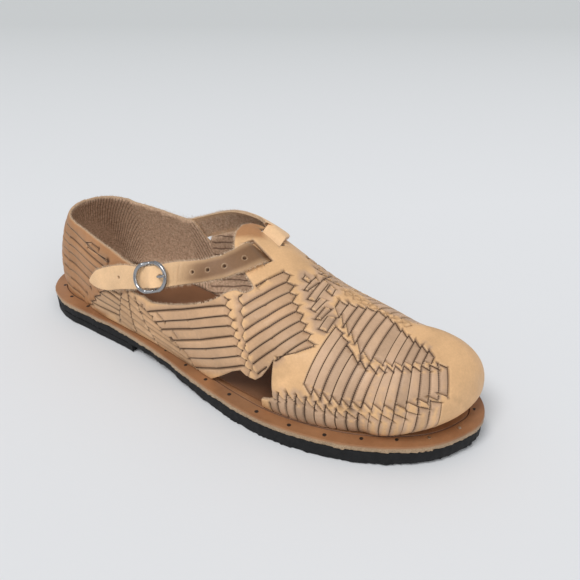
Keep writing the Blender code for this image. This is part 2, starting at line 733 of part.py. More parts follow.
def sole_outline(inset):
    """Outline of the sole, moved in by inset, anticlockwise seen from above."""
    outer = [(row[0] * UNIT, -row[1] * BALL_WIDTH) for row in SOLE]
    inner = [(row[0] * UNIT, row[2] * BALL_WIDTH) for row in SOLE[1:-1]]
    control = outer + inner[::-1]
    count = len(control)
    runs = [hypot(control[(i + 1) % count][0] - control[i][0], control[(i + 1) % count][1] - control[i][1])
            for i in range(count)]
    fine = []
    for i in range(count):
        p0, p1, p2, p3 = (Vector(control[(i + k) % count]) for k in (-1, 0, 1, 2))
        d0, d1, d2 = runs[i - 1], runs[i], runs[(i + 1) % count]
        m1 = ((p1 - p0) / d0 * d1 + (p2 - p1) / d1 * d0) / (d0 + d1)
        m2 = ((p2 - p1) / d1 * d2 + (p3 - p2) / d2 * d1) / (d1 + d2)
        for k in range(12):
            t = k / 12
            fine.append(((2 * t - 3) * t * t + 1) * p1 + ((t - 2) * t + 1) * t * d1 * m1
                        + (3 - 2 * t) * t * t * p2 + (t - 1) * t * t * d1 * m2)
    line = np.array([tuple(p) for p in fine])
    tangent = np.roll(line, -1, axis=0) - np.roll(line, 1, axis=0)
    tangent /= np.linalg.norm(tangent, axis=1, keepdims=True)
    line = line + np.c_[-tangent[:, 1], tangent[:, 0]] * inset
    run = np.r_[0, np.cumsum(np.linalg.norm(np.diff(np.r_[line, line[:1]], axis=0), axis=1))]
    marks = np.linspace(0, run[-1], SOLE_STEPS, endpoint=False)
    ring = np.r_[line, line[:1]]
    return [(np.interp(m, run, ring[:, 0]), np.interp(m, run, ring[:, 1])) for m in marks]


# Spacing of the points inside a flat sheet
SLAB_STEP = 15 * MM


def slab(name, outline, bottom, top, slot, step=SLAB_STEP):
    """Closed sheet between two height functions of X over an outline."""
    fill = fill_points([[(x / step, y / step) for x, y in outline]], 1.0) * step
    fill = fill[distances(fill, [outline + [outline[0]]]) > step * 0.45]
    ring = [(x / MM, y / MM) for x, y in outline]
    points, faces = triangulate([ring], [], [(x / MM, y / MM) for x, y in fill])
    points = points * MM
    mesh = bmesh.new()
    used = sorted({v for face in faces for v in face})
    high = {v: mesh.verts.new((points[v][0], points[v][1], top(points[v][0]))) for v in used}
    low = {v: mesh.verts.new((points[v][0], points[v][1], bottom(points[v][0]))) for v in used}
    for a, b, c in faces:
        mesh.faces.new((high[a], high[b], high[c]))
        mesh.faces.new((low[c], low[b], low[a]))
    for a, b in rim_edges(faces):
        mesh.faces.new((high[b], high[a], low[a], low[b]))
    return finish(name, mesh, slot)


def make_sole():
    """Rubber outsole, heel lift, leather sole and insole."""
    outline = sole_outline(0)
    slab("outsole", sole_outline(0.6 * MM), rubber_bottom, rubber_top, "rubber_black")
    slab("leather_sole", outline, leather_bottom, leather_top, "leather_sole")
    breast = BREAST * UNIT
    ring = sole_outline(0.6 * MM)
    heel = []
    for (ax, ay), (bx, by) in zip(ring, ring[1:] + ring[:1]):
        if ax < breast:
            heel.append((ax, ay))
        if (ax < breast) != (bx < breast):
            heel.append((breast, ay + (by - ay) * (breast - ax) / (bx - ax)))
    lift_top = rubber_bottom(0) - FIT
    slab("heel_lift", heel, lambda x: 0.0, lambda x: lift_top, "rubber_black")
    inside_edge = []
    heel_end, toe_end = HEEL_CENTRE - HEEL_ARC, TOE_CENTRE + TOE_ARC
    places = np.linspace(heel_end, toe_end, 30)
    for side in (-1, 1):
        run = places if side < 0 else places[-2:0:-1]
        for loop in run:
            x, y = chart(loop, FEATHER - 1e-6, side)
            point = on_last(x, y, -WALL - 4 * FIT)
            inside_edge.append((point.x, point.y))
    slab("insole", inside_edge, lambda x: leather_top(x) + FIT, lambda x: leather_top(x) + FIT + INSOLE,
         "leather_insole")


# Strap and buckle

# Centre line of the strap on the chart: X, Y, level of its under face in millimetres, half width share
STRAP_PATH = (
    (61.5, -74.6, 0.5, 0.10), (66, -72.8, 0.45, 0.55), (71, -70.6, 0.45, 0.85), (78, -68.0, 0.45, 0.97),
    (88, -63.8, 0.45, 0.96), (97, -60.6, 0.45, 0.94), (105, -58.3, 0.45, 0.86), (112.1, -55.5, 0.8, 0.78),
    (114.9, -54.4, 1.7, 0.78), (116.7, -53.7, 2.5, 0.78),
    (119.1, -52.7, 2.5, 0.78), (121.1, -51.8, 1.7, 0.78),
    (123.7, -50.5, 0.8, 0.79), (127.5, -48.6, 0.1, 0.84), (133.5, -45.4, -0.3, 0.84),
    (141, -41.9, -0.4, 0.80), (150, -37.3, 0.1, 0.78), (158.6, -31.2, 0.6, 0.84), (163.8, -24.0, 0.6, 0.94),
    (166.1, -18.4, 0.6, 1.0), (167.0, -16.0, 0.6, 1.0), (167.2, -15.1, 0.45, 1.0), (167.9, -8.9, -4.75, 1.0),
    (167.8, -7.4, -4.9, 1.0), (166.8, -3.0, -4.9, 1.0), (165.6, 2.2, -4.9, 1.0), (165.1, 3.8, -4.75, 1.0),
    (163.7, 10.0, 0.6, 1.0), (163.4, 10.9, 0.95, 1.0), (161.6, 14.6, 1.5, 1.0), (157.6, 19.2, 1.7, 1.0),
    (151.4, 23.6, 1.6, 1.0), (143, 27.8, 1.2, 1.0), (132, 32.8, 0.8, 1.0), (120, 39.2, 0.6, 1.0),
    (108, 46.0, 0.5, 1.0), (97, 52.0, 0.45, 1.0), (88, 56.4, 0.45, 1.0), (80, 59.8, 0.45, 1.0),
    (74, 62.2, 0.45, 0.9), (70.5, 63.6, 0.5, 0.6),
)
STRAP_COLUMNS = 4
# Girth on either side up to which the strap lies square to the slots
SQUARE_OUT = 16.5
SQUARE_IN = 11.5
SQUARE_RUN = 3.5


def strap_row(k):
    """Under-face points across the strap at row k, with its level."""
    x, y, level, share = STRAP_PATH[k]
    before = STRAP_PATH[max(k - 1, 0)]
    after = STRAP_PATH[min(k + 1, len(STRAP_PATH) - 1)]
    dx, dy = after[0] - before[0], after[1] - before[1]
    size = hypot(dx, dy)
    nx, ny = -dy / size, dx / size
    square = SQUARE_OUT if y < 0 else SQUARE_IN
    blend = 1 - ramp(abs(y), square, square + SQUARE_RUN)
    (ax, ay), (bx, by) = SLOT_OUT if y < 0 else SLOT_IN
    slot_size = hypot(bx - ax, by - ay)
    nx += ((ax - bx) / slot_size - nx) * blend
    ny += ((ay - by) / slot_size - ny) * blend
    size = hypot(nx, ny)
    nx, ny = nx / size, ny / size
    half = STRAP_HALF * share
    return [(x + nx * half * (2 * i / STRAP_COLUMNS - 1), y + ny * half * (2 * i / STRAP_COLUMNS - 1))
            for i in range(STRAP_COLUMNS + 1)], level * MM


def make_strap():
    """Ankle strap as one closed band."""
    mesh = bmesh.new()
    rows = []
    for k in range(len(STRAP_PATH)):
        line, level = strap_row(k)
        low = [mesh.verts.new(on_last(x, y, level)) for x, y in line]
        high = [mesh.verts.new(on_last(x, y, level + STRAP)) for x, y in line]
        rows.append(low + high[::-1])
    size = len(rows[0])
    for a, b in zip(rows, rows[1:]):
        for i in range(size):
            mesh.faces.new((a[i], a[(i + 1) % size], b[(i + 1) % size], b[i]))
    mesh.faces.new(rows[0][::-1])
    mesh.faces.new(rows[-1])
    return finish("ankle_strap", mesh, "leather_strap")


BUCKLE_AT = (117.9, -53.25)
BUCKLE_TO = (127.9, -48.55)
BUCKLE_LONG = 11.5 * MM
BUCKLE_HIGH = 8.15 * MM
BAR_LEVEL = 1.15 * MM
ARC_LEVEL = 4.5 * MM


def buckle_frame():
    """Origin and axes at the buckle's centre bar: along the strap, across it, outward."""
    origin = on_last(*BUCKLE_AT)
    along = (on_last(*BUCKLE_TO) - origin).normalized()
    outward = (on_last(*BUCKLE_AT, level=1.0) - origin).normalized()
    across = outward.cross(along).normalized()
    return origin, along, across, outward


def wire(name, points, radius, closed):
    """Round wire through points as a mesh with filled ends."""
    curve = bpy.data.curves.new(name, "CURVE")
    curve.dimensions = "3D"
    curve.bevel_depth = radius
    curve.bevel_resolution = 1
    curve.use_fill_caps = True
    spline = curve.splines.new("POLY")
    spline.points.add(len(points) - 1)
    for point, place in zip(spline.points, points):
        point.co = (*place, 1)
    spline.use_cyclic_u = closed
    holder = bpy.data.objects.new(name + "_path", curve)
    bpy.context.scene.collection.objects.link(holder)
    bpy.context.view_layer.update()
    graph = bpy.context.evaluated_depsgraph_get()
    data = bpy.data.meshes.new_from_object(holder.evaluated_get(graph))
    bpy.data.objects.remove(holder)
    mesh = bmesh.new()
    mesh.from_mesh(data)
    bmesh.ops.remove_doubles(mesh, verts=mesh.verts, dist=1e-6)
    bmesh.ops.recalc_face_normals(mesh, faces=mesh.faces)
    return mesh


def boolean(target, other, operation):
    """Applied Boolean of two objects; the second one is removed."""
    modifier = target.modifiers.new(operation.lower(), "BOOLEAN")
    modifier.operation = operation
    modifier.object = other
    bpy.context.view_layer.update()
    graph = bpy.context.evaluated_depsgraph_get()
    data = bpy.data.meshes.new_from_object(target.evaluated_get(graph))
    target.modifiers.clear()
    target.data = data
    bpy.data.objects.remove(other)


def make_buckle():
    """Oval frame waisted at its centre bar, and the prong through the strap."""
    origin, along, across, outward = buckle_frame()
    count = 28
    loop = []
    for i in range(count):
        angle = 2 * pi * i / count
        u, v = cos(angle), sin(angle)
        reach = BUCKLE_LONG * abs(u) ** 0.8 * (1 if u > 0 else -1)
        waist = 1 - 0.07 * (1 - abs(u)) ** 3
        rise = BAR_LEVEL + (ARC_LEVEL - BAR_LEVEL) * ramp(abs(u), 0.06, 0.42)
        loop.append(origin + along * reach + across * (BUCKLE_HIGH * v * waist) + outward * rise)
    frame = finish("buckle_frame", wire("frame", loop, WIRE, True), "metal")
    half = BUCKLE_HIGH * 0.93
    ends = [origin + across * (-half) + outward * BAR_LEVEL, origin + across * half + outward * BAR_LEVEL]
    bar = finish("bar", wire("bar", ends, WIRE * 0.93, False), "metal")
    boolean(frame, bar, "UNION")
    return frame


def make_prong(strap):
    """Prong: hooked on the bar, up through the strap's hole and onto the front arc."""
    origin, along, across, outward = buckle_frame()
    hole_at = 6.0 * MM
    path = ((1.55, 0.1), (2.35, 0.75), (4.4, 0.3), (5.4, 0.45), (5.95, 1.6), (6.1, 3.6), (6.7, 5.2),
            (8.6, 6.35), (11.8, 6.75), (13.2, 6.6))
    points = [origin + along * (a * MM) + outward * (b * MM) for a, b in path]
    prong = finish("buckle_prong", wire("prong", points, PRONG, False), "metal")
    centre = origin + along * hole_at
    drill = bmesh.new()
    bmesh.ops.create_cone(drill, cap_ends=True, segments=12, radius1=PRONG_HOLE, radius2=PRONG_HOLE,
                          depth=12 * MM)
    turn = along.cross(across).to_track_quat("Z", "X").to_matrix().to_4x4()
    bmesh.ops.transform(drill, matrix=turn, verts=drill.verts)
    bmesh.ops.translate(drill, vec=centre + outward * (2 * MM), verts=drill.verts)
    cutter = finish("drill", drill, "metal")
    boolean(strap, cutter, "DIFFERENCE")
    return prong


# Materials and assembly

MATERIALS = {
    "leather_tan": ((0.60, 0.37, 0.20), 0.55, 0.0),
    "leather_strap": ((0.66, 0.43, 0.24), 0.55, 0.0),
    "leather_sole": ((0.36, 0.17, 0.07), 0.50, 0.0),
    "leather_insole": ((0.30, 0.14, 0.06), 0.60, 0.0),
    "rubber_black": ((0.012, 0.012, 0.013), 0.75, 0.0),
    "metal": ((0.62, 0.62, 0.63), 0.22, 1.0),
}


def material(slot):
    """Principled material for a slot, made once."""
    if slot in bpy.data.materials:
        return bpy.data.materials[slot]
    color, roughness, metallic = MATERIALS[slot]
    made = bpy.data.materials.new(slot)
    made.use_nodes = True
    shader = made.node_tree.nodes["Principled BSDF"]
    shader.inputs["Base Color"].default_value = (*color, 1)
    shader.inputs["Roughness"].default_value = roughness
    shader.inputs["Metallic"].default_value = metallic
    made.diffuse_color = (*color, 1)
    return made


SHIFT = Vector((-LENGTH / 2, 0, 0))


def finish(name, mesh, slot):
    """Object in the shoe's collection from a bmesh."""
    bmesh.ops.triangulate(mesh, faces=[f for f in mesh.faces if len(f.verts) > 4])
    data = bpy.data.meshes.new(name)
    mesh.to_mesh(data)
    mesh.free()
    data.materials.append(material(slot))
    made = bpy.data.objects.new(name, data)
    SHOE.objects.link(made)
    data.shade_smooth()
    data.set_sharp_from_angle(angle=0.6)
    return made


for old in list(bpy.data.objects):
    bpy.data.objects.remove(old)
SHOE = bpy.data.collections.new("huarache_sandal")
bpy.context.scene.collection.children.link(SHOE)


def centre_on_floor():
    """Moves the shoe so its box stands centred on the origin."""
    lows, highs = [], []
    for made in SHOE.objects:
        corners = [v.co for v in made.data.vertices]
        lows.append([min(c[i] for c in corners) for i in range(3)])
        highs.append([max(c[i] for c in corners) for i in range(3)])
    low = [min(row[i] for row in lows) for i in range(3)]
    high = [max(row[i] for row in highs) for i in range(3)]
    shift = Vector((-(low[0] + high[0]) / 2, -(low[1] + high[1]) / 2, -low[2]))
    for made in SHOE.objects:
        for v in made.data.vertices:
            v.co += shift


make_sole()
make_upper()
ankle_strap = make_strap()
make_buckle()
make_prong(ankle_strap)
centre_on_floor()
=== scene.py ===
# Huarache sandal, right shoe: the leather, rubber and metal as the photograph shows them.
# Metres and the part's own frame: +X to the toe, +Y to the inner side, +Z up.
import bpy
import bmesh
import numpy as np
from math import atan2, cos, floor, hypot, pi, radians, sin
from mathutils import Matrix, Vector, geometry, kdtree


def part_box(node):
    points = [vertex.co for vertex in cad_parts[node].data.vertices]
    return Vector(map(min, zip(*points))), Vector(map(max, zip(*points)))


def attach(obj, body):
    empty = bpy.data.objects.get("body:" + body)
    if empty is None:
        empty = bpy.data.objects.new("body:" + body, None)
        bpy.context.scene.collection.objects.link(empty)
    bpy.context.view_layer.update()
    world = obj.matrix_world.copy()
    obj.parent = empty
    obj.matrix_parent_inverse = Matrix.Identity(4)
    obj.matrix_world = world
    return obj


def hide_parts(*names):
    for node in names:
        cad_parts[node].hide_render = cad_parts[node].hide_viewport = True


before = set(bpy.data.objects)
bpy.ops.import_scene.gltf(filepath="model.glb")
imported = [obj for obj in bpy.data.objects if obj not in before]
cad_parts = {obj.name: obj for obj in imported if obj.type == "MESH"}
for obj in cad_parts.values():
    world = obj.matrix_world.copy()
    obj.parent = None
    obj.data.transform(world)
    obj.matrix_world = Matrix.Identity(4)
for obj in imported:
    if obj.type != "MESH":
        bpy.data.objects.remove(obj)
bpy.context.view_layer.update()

MM = 0.001

# Sizes shared with the part
LENGTH = 296 * MM
BALL_WIDTH = 100 * MM
INSTEP_HEIGHT = 70 * MM
COUNTER_HEIGHT = 53 * MM
LEATHER = 4.0 * MM
RUBBER_SHANK = 5.2 * MM
HEEL_LIFT = 5.2 * MM
RUBBER_FORE = 7.9 * MM
TOE_SPRING = 2.2 * MM
INSOLE = 1.2 * MM
FIT = 0.3 * MM
WALL = 2.2 * MM
STRAP = 2.0 * MM
STRAP_HALF = 7.2
CHART = 296
UNIT = LENGTH / CHART
HEEL_CENTRE = 40
TOE_CENTRE = 250
HEEL_ARC = 52
TOE_ARC = 61
FEATHER = 100
SECTION = ("station", "feather_out", "wide_out", "feather_in", "wide_in", "crest", "crest_y",
           "power_out", "power_in", "wide_z")
LAST = (
    (40, 0.305, 0.318, 0.275, 0.300, 1.104, 0.00, 2.05, 2.05, 0.16),
    (60, 0.355, 0.368, 0.290, 0.325, 1.133, 0.00, 2.10, 2.10, 0.19),
    (85, 0.375, 0.395, 0.285, 0.340, 1.165, 0.00, 2.15, 2.15, 0.22),
    (110, 0.385, 0.415, 0.270, 0.350, 1.155, 0.00, 2.20, 2.20, 0.25),
    (135, 0.410, 0.435, 0.290, 0.365, 1.105, 0.00, 2.20, 2.10, 0.28),
    (160, 0.440, 0.470, 0.335, 0.395, 1.020, 0.01, 2.15, 1.95, 0.27),
    (185, 0.460, 0.505, 0.385, 0.425, 0.897, 0.02, 2.10, 1.60, 0.25),
    (205, 0.460, 0.515, 0.420, 0.445, 0.804, 0.03, 2.10, 1.38, 0.24),
    (225, 0.430, 0.490, 0.440, 0.460, 0.726, 0.04, 2.15, 1.35, 0.225),
    (240, 0.375, 0.440, 0.425, 0.445, 0.676, 0.05, 2.20, 1.33, 0.225),
    (250, 0.325, 0.390, 0.400, 0.420, 0.647, 0.05, 2.25, 1.33, 0.225),
)
HEEL_BACK = ((0.0, 8.9), (0.2, 7.1), (0.44, 7.4), (0.70, 10.4),
             (0.89, 13.9), (1.0, 16.9), (1.23, 24.9), (1.46, 35.5))
HEEL_POWER = 2.2
TOE_REACH = 291
TOE_FEATHER = 275
TOE_LEAN = 0.08
TOE_POWER = 2.25
TOE_NOSE = 0.175
TOE_OUTLINE = 2.1
TOE_BLEND_OUT = 2
TOE_BLEND_IN = 5
SOLE = (
    (0, 0.0, 0.0), (3.6, 0.183, 0.149), (13.3, 0.306, 0.270), (29.6, 0.373, 0.340),
    (50.3, 0.385, 0.360), (82.9, 0.392, 0.340), (118.4, 0.429, 0.335), (148, 0.484, 0.370),
    (177.6, 0.531, 0.450), (201.3, 0.545, 0.510), (225, 0.511, 0.533), (248.6, 0.437, 0.506),
    (269.4, 0.322, 0.423), (284.2, 0.190, 0.320), (293, 0.035, 0.207), (296, -0.09, 0.09),
)
SHANK_START = 106.6
SHANK_END = 177.6
ARCH_START = 74
ARCH_END = 171.7
SPRING_START = 219
SPRING_END = 296
BREAST = 93.2


def smooth(table, x, column=1):
    """Cubic through the rows of a table, with slopes from the neighbouring rows."""
    xs = [row[0] for row in table]
    ys = [row[column] for row in table]
    last = len(xs) - 1

    def slope(k):
        if k == 0:
            return (ys[1] - ys[0]) / (xs[1] - xs[0])
        if k == last:
            return (ys[last] - ys[last - 1]) / (xs[last] - xs[last - 1])
        before, after = xs[k] - xs[k - 1], xs[k + 1] - xs[k]
        rise_before = (ys[k] - ys[k - 1]) / before
        rise_after = (ys[k + 1] - ys[k]) / after
        return (rise_before * after + rise_after * before) / (before + after)

    if x <= xs[0]:
        return ys[0] + slope(0) * (x - xs[0])
    if x >= xs[last]:
        return ys[last] + slope(last) * (x - xs[last])
    k = max(i for i in range(last) if xs[i] <= x)
    span = xs[k + 1] - xs[k]
    t = (x - xs[k]) / span
    start, end = slope(k) * span, slope(k + 1) * span
    return (((2 * t - 3) * t * t + 1) * ys[k] + ((t - 2) * t + 1) * t * start
            + (3 - 2 * t) * t * t * ys[k + 1] + (t - 1) * t * t * end)


def ramp(x, start, end):
    """0 before start, 1 after end, with level ends."""
    t = min(max((x - start) / (end - start), 0), 1)
    return t * t * (3 - 2 * t)


def ramps(x, start, end):
    """The same for an array."""
    t = np.clip((x - start) / (end - start), 0, 1)
    return t * t * (3 - 2 * t)


def chance(*keys):
    """Repeatable number from 0 to 1 for whole-number keys."""
    value = 0.0
    for i, key in enumerate(keys):
        value += (key + 1) * (12.9898 + 7.233 * i)
    value = sin(value) * 43758.5453
    return value - floor(value)


def spring(station):
    """Lift of the toe at a place along the chart."""
    t = min(max((station - SPRING_START) / (SPRING_END - SPRING_START), 0), 1)
    return TOE_SPRING * t * t


HEEL_TOP = HEEL_LIFT + RUBBER_SHANK + LEATHER + FIT
FORE_TOP = RUBBER_FORE + LEATHER + FIT


def leather_top(x):
    """Height of the leather sole's top face."""
    station = x / UNIT
    return HEEL_TOP + (FORE_TOP - HEEL_TOP) * ramp(station, ARCH_START, ARCH_END) + spring(station)


def leather_bottom(x):
    """Height of the leather sole's under face."""
    return leather_top(x) - LEATHER


def rubber_bottom(x):
    """Under face of the outsole: raised at heel and shank, on the floor at the ball."""
    station = x / UNIT
    raised = leather_bottom(0) - FIT - RUBBER_SHANK
    return raised * (1 - ramp(station, SHANK_START, SHANK_END)) + spring(station)


# Surface of the last
SEAT = HEEL_TOP + FIT
ARC_STEPS = 40
TUCK_STEPS = 12
LOOP_STEP = 1.0
GIRTH_STEPS = 200


def section(station, name):
    """Value of one named column of the last's table at a station."""
    return smooth(LAST, station, SECTION.index(name))


def quarter(wide, feather, wide_z, crest_z, floor_z, power):
    """Half a section: superellipse from the crest to the widest, then tucked in to the feather."""
    rows = []
    for i in range(ARC_STEPS + 1):
        angle = i / ARC_STEPS * pi / 2
        rows.append((wide * sin(angle) ** (2 / power),
                     wide_z + (crest_z - wide_z) * max(cos(angle), 0) ** (2 / power)))
    for i in range(1, TUCK_STEPS + 1):
        share = i / TUCK_STEPS
        rows.append((wide - (wide - feather) * share * share, wide_z - (wide_z - floor_z) * share))
    return rows


def oval(side, front, s, c, power):
    """Radius of a superellipse in the direction with sine s and cosine c."""
    return ((abs(s) / side) ** power + (abs(c) / front) ** power) ** (-1 / power)


def section_rows(station, side):
    """Half section at a station, on the outer side (-1) or the inner side (1)."""
    word = "out" if side < 0 else "in"
    centre = section(station, "crest_y") * BALL_WIDTH
    wide = section(station, "wide_" + word) * BALL_WIDTH - side * centre
    feather = section(station, "feather_" + word) * BALL_WIDTH - side * centre
    base = leather_top(station * UNIT) + FIT
    wide_z = base + section(station, "wide_z") * INSTEP_HEIGHT
    crest_z = base + section(station, "crest") * INSTEP_HEIGHT
    return quarter(wide, feather, wide_z, crest_z, base, section(station, "power_" + word)), centre


def rib(loop, side):
    """Points from the ridge to the feather edge at a place on the loop round the last."""
    if loop < HEEL_CENTRE:
        rows, centre = section_rows(HEEL_CENTRE, side)
        angle = (HEEL_CENTRE - loop) / HEEL_ARC * pi / 2
        s, c = cos(angle), sin(angle)
        points = []
        for r, z in rows:
            back = (HEEL_CENTRE - smooth(HEEL_BACK, (z - SEAT) / COUNTER_HEIGHT)) * UNIT
            reach = oval(max(r, 1e-5), max(back, 1e-5) * min(1, r / (0.2 * BALL_WIDTH)) + 1e-5, s, c, HEEL_POWER)
            points.append((HEEL_CENTRE * UNIT - c * reach, side * s * reach, z))
        return points
    if loop <= TOE_CENTRE:
        rows, centre = section_rows(loop, side)
        return [(loop * UNIT, centre + side * r, z) for r, z in rows]
    angle = (loop - TOE_CENTRE) / TOE_ARC * pi / 2
    s, c = cos(angle), sin(angle)
    centre = section(TOE_CENTRE, "crest_y") * BALL_WIDTH
    word = "out" if side < 0 else "in"
    reach = (TOE_REACH - TOE_CENTRE) * UNIT
    wide = oval(section(TOE_CENTRE, "wide_" + word) * BALL_WIDTH - side * centre, reach, s, c, TOE_OUTLINE)
    feather = oval(section(TOE_CENTRE, "feather_" + word) * BALL_WIDTH - side * centre,
                   (TOE_FEATHER - TOE_CENTRE) * UNIT, s, c, TOE_OUTLINE)
    power = section(TOE_CENTRE, "power_" + word)
    power += (TOE_POWER - power) * c ** (TOE_BLEND_OUT if side < 0 else TOE_BLEND_IN)
    nose = section(TOE_CENTRE, "wide_z")
    nose += (TOE_NOSE - nose) * c * c
    base = leather_top(TOE_CENTRE * UNIT) + FIT
    ground = leather_top(TOE_CENTRE * UNIT + c * feather) + FIT
    rows = quarter(wide, feather, ground + nose * INSTEP_HEIGHT,
                   base + section(TOE_CENTRE, "crest") * INSTEP_HEIGHT, ground, power)
    lean = TOE_LEAN * BALL_WIDTH * c * c / reach
    return [(TOE_CENTRE * UNIT + c * r, centre + side * s * r + lean * r, z) for r, z in rows]


def build_grid():
    """Grids of points and normals of the last: side, place on the loop, girth."""
    loops = np.arange(HEEL_CENTRE - HEEL_ARC, TOE_CENTRE + TOE_ARC + LOOP_STEP / 2, LOOP_STEP)
    girth = np.linspace(0, 1, GIRTH_STEPS + 1)
    grids = []
    for side in (-1, 1):
        heel = np.array(rib(HEEL_CENTRE, side))
        heel_run = np.r_[0, np.cumsum(np.linalg.norm(np.diff(heel, axis=0), axis=1))]
        ribs = []
        for loop in loops:
            points = np.array(rib(loop, side))
            run = np.r_[0, np.cumsum(np.linalg.norm(np.diff(points, axis=0), axis=1))]
            if loop < HEEL_CENTRE:
                run = heel_run
            ribs.append(np.stack([np.interp(girth * run[-1], run, points[:, i]) for i in range(3)], axis=1))
        grids.append(np.array(ribs))
    points = np.array(grids)
    normals = np.cross(np.gradient(points, axis=1), np.gradient(points, axis=2))
    normals[0] *= -1
    size = np.linalg.norm(normals, axis=3, keepdims=True)
    normals = np.where(size > 1e-14, normals / np.maximum(size, 1e-14), 0)
    for row in range(points.shape[1]):
        first = normals[0, row, 2] + normals[1, row, 2]
        if loops[row] > TOE_CENTRE:
            first = np.array((0.12, 0, 1.0))
        normals[:, row, 0] = first / np.linalg.norm(first)
        normals[:, row, 1] = normals[:, row, 0] + normals[:, row, 2]
        normals[:, row, 1] /= np.linalg.norm(normals[:, row, 1], axis=1, keepdims=True)
    return loops, points, normals


LOOPS, POINTS, NORMALS = build_grid()


def to_loops(chart_points):
    """Side, place on the loop and girth share of an array of chart points."""
    x, y = chart_points[:, 0], chart_points[:, 1]
    side = np.where(y < 0, 0, 1)
    a = np.abs(y)
    heel, toe = x < HEEL_CENTRE, x > TOE_CENTRE
    loop = np.where(heel, HEEL_CENTRE - np.arctan2(HEEL_CENTRE - x, a) / (pi / 2) * HEEL_ARC,
                    np.where(toe, TOE_CENTRE + np.arctan2(x - TOE_CENTRE, a) / (pi / 2) * TOE_ARC, x))
    girth = np.where(heel, np.hypot(HEEL_CENTRE - x, a), np.where(toe, np.hypot(x - TOE_CENTRE, a), a))
    return side, loop, girth / FEATHER


def on_last(chart_points, levels):
    """Points of the last's surface at chart points, raised by levels along the normals."""
    side, loop, girth = to_loops(np.asarray(chart_points, float))
    row = np.clip((loop - LOOPS[0]) / LOOP_STEP, 0, len(LOOPS) - 1.001)
    col = np.clip(girth * GIRTH_STEPS, 0, GIRTH_STEPS - 0.001)
    i, j = row.astype(int), col.astype(int)
    a, b = (row - i)[:, None], (col - j)[:, None]

    def mix(grid):
        return ((grid[side, i, j] * (1 - a) + grid[side, i + 1, j] * a) * (1 - b)
                + (grid[side, i, j + 1] * (1 - a) + grid[side, i + 1, j + 1] * a) * b)

    normal = mix(NORMALS)
    normal /= np.linalg.norm(normal, axis=1, keepdims=True)
    return mix(POINTS) + normal * np.asarray(levels)[:, None] + SHIFT, normal


def place(x, y, level=0.0):
    """One point on the last as a vector."""
    return Vector(on_last([(x, y)], [level])[0][0])


def chart(loop, girth, side=-1):
    """Chart point at a place on the loop and a girth from 0 to 100."""
    if loop < HEEL_CENTRE:
        angle = (HEEL_CENTRE - loop) / HEEL_ARC * pi / 2
        return HEEL_CENTRE - girth * sin(angle), side * girth * cos(angle)
    if loop > TOE_CENTRE:
        angle = (loop - TOE_CENTRE) / TOE_ARC * pi / 2
        return TOE_CENTRE + girth * sin(angle), side * girth * cos(angle)
    return loop, side * girth


def sole_line(inset, steps):
    """Outline of the sole, moved in by inset, anticlockwise seen from above."""
    outer = [(row[0] * UNIT, -row[1] * BALL_WIDTH) for row in SOLE]
    inner = [(row[0] * UNIT, row[2] * BALL_WIDTH) for row in SOLE[1:-1]]
    control = outer + inner[::-1]
    count = len(control)
    runs = [hypot(control[(i + 1) % count][0] - control[i][0], control[(i + 1) % count][1] - control[i][1])
            for i in range(count)]
    fine = []
    for i in range(count):
        p0, p1, p2, p3 = (np.array(control[(i + k) % count]) for k in (-1, 0, 1, 2))
        d0, d1, d2 = runs[i - 1], runs[i], runs[(i + 1) % count]
        m1 = ((p1 - p0) / d0 * d1 + (p2 - p1) / d1 * d0) / (d0 + d1)
        m2 = ((p2 - p1) / d1 * d2 + (p3 - p2) / d2 * d1) / (d1 + d2)
        for k in range(12):
            t = k / 12
            fine.append(((2 * t - 3) * t * t + 1) * p1 + ((t - 2) * t + 1) * t * d1 * m1
                        + (3 - 2 * t) * t * t * p2 + (t - 1) * t * t * d1 * m2)
    line = np.array(fine)
    tangent = np.roll(line, -1, axis=0) - np.roll(line, 1, axis=0)
    tangent /= np.linalg.norm(tangent, axis=1, keepdims=True)
    line = line + np.c_[-tangent[:, 1], tangent[:, 0]] * inset
    ring = np.r_[line, line[:1]]
    run = np.r_[0, np.cumsum(np.linalg.norm(np.diff(ring, axis=0), axis=1))]
    marks = np.linspace(0, run[-1], steps, endpoint=False)
    return np.c_[np.interp(marks, run, ring[:, 0]), np.interp(marks, run, ring[:, 1])]


# The part is centred on its own box, so the same shift is read off its leather sole.
LEATHER_LOW, LEATHER_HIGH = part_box("leather_sole")
EDGE_LINE = sole_line(0, 84)
SHIFT = np.array(((LEATHER_LOW.x + LEATHER_HIGH.x - EDGE_LINE[:, 0].min() - EDGE_LINE[:, 0].max()) / 2,
                  (LEATHER_LOW.y + LEATHER_HIGH.y - EDGE_LINE[:, 1].min() - EDGE_LINE[:, 1].max()) / 2, 0))

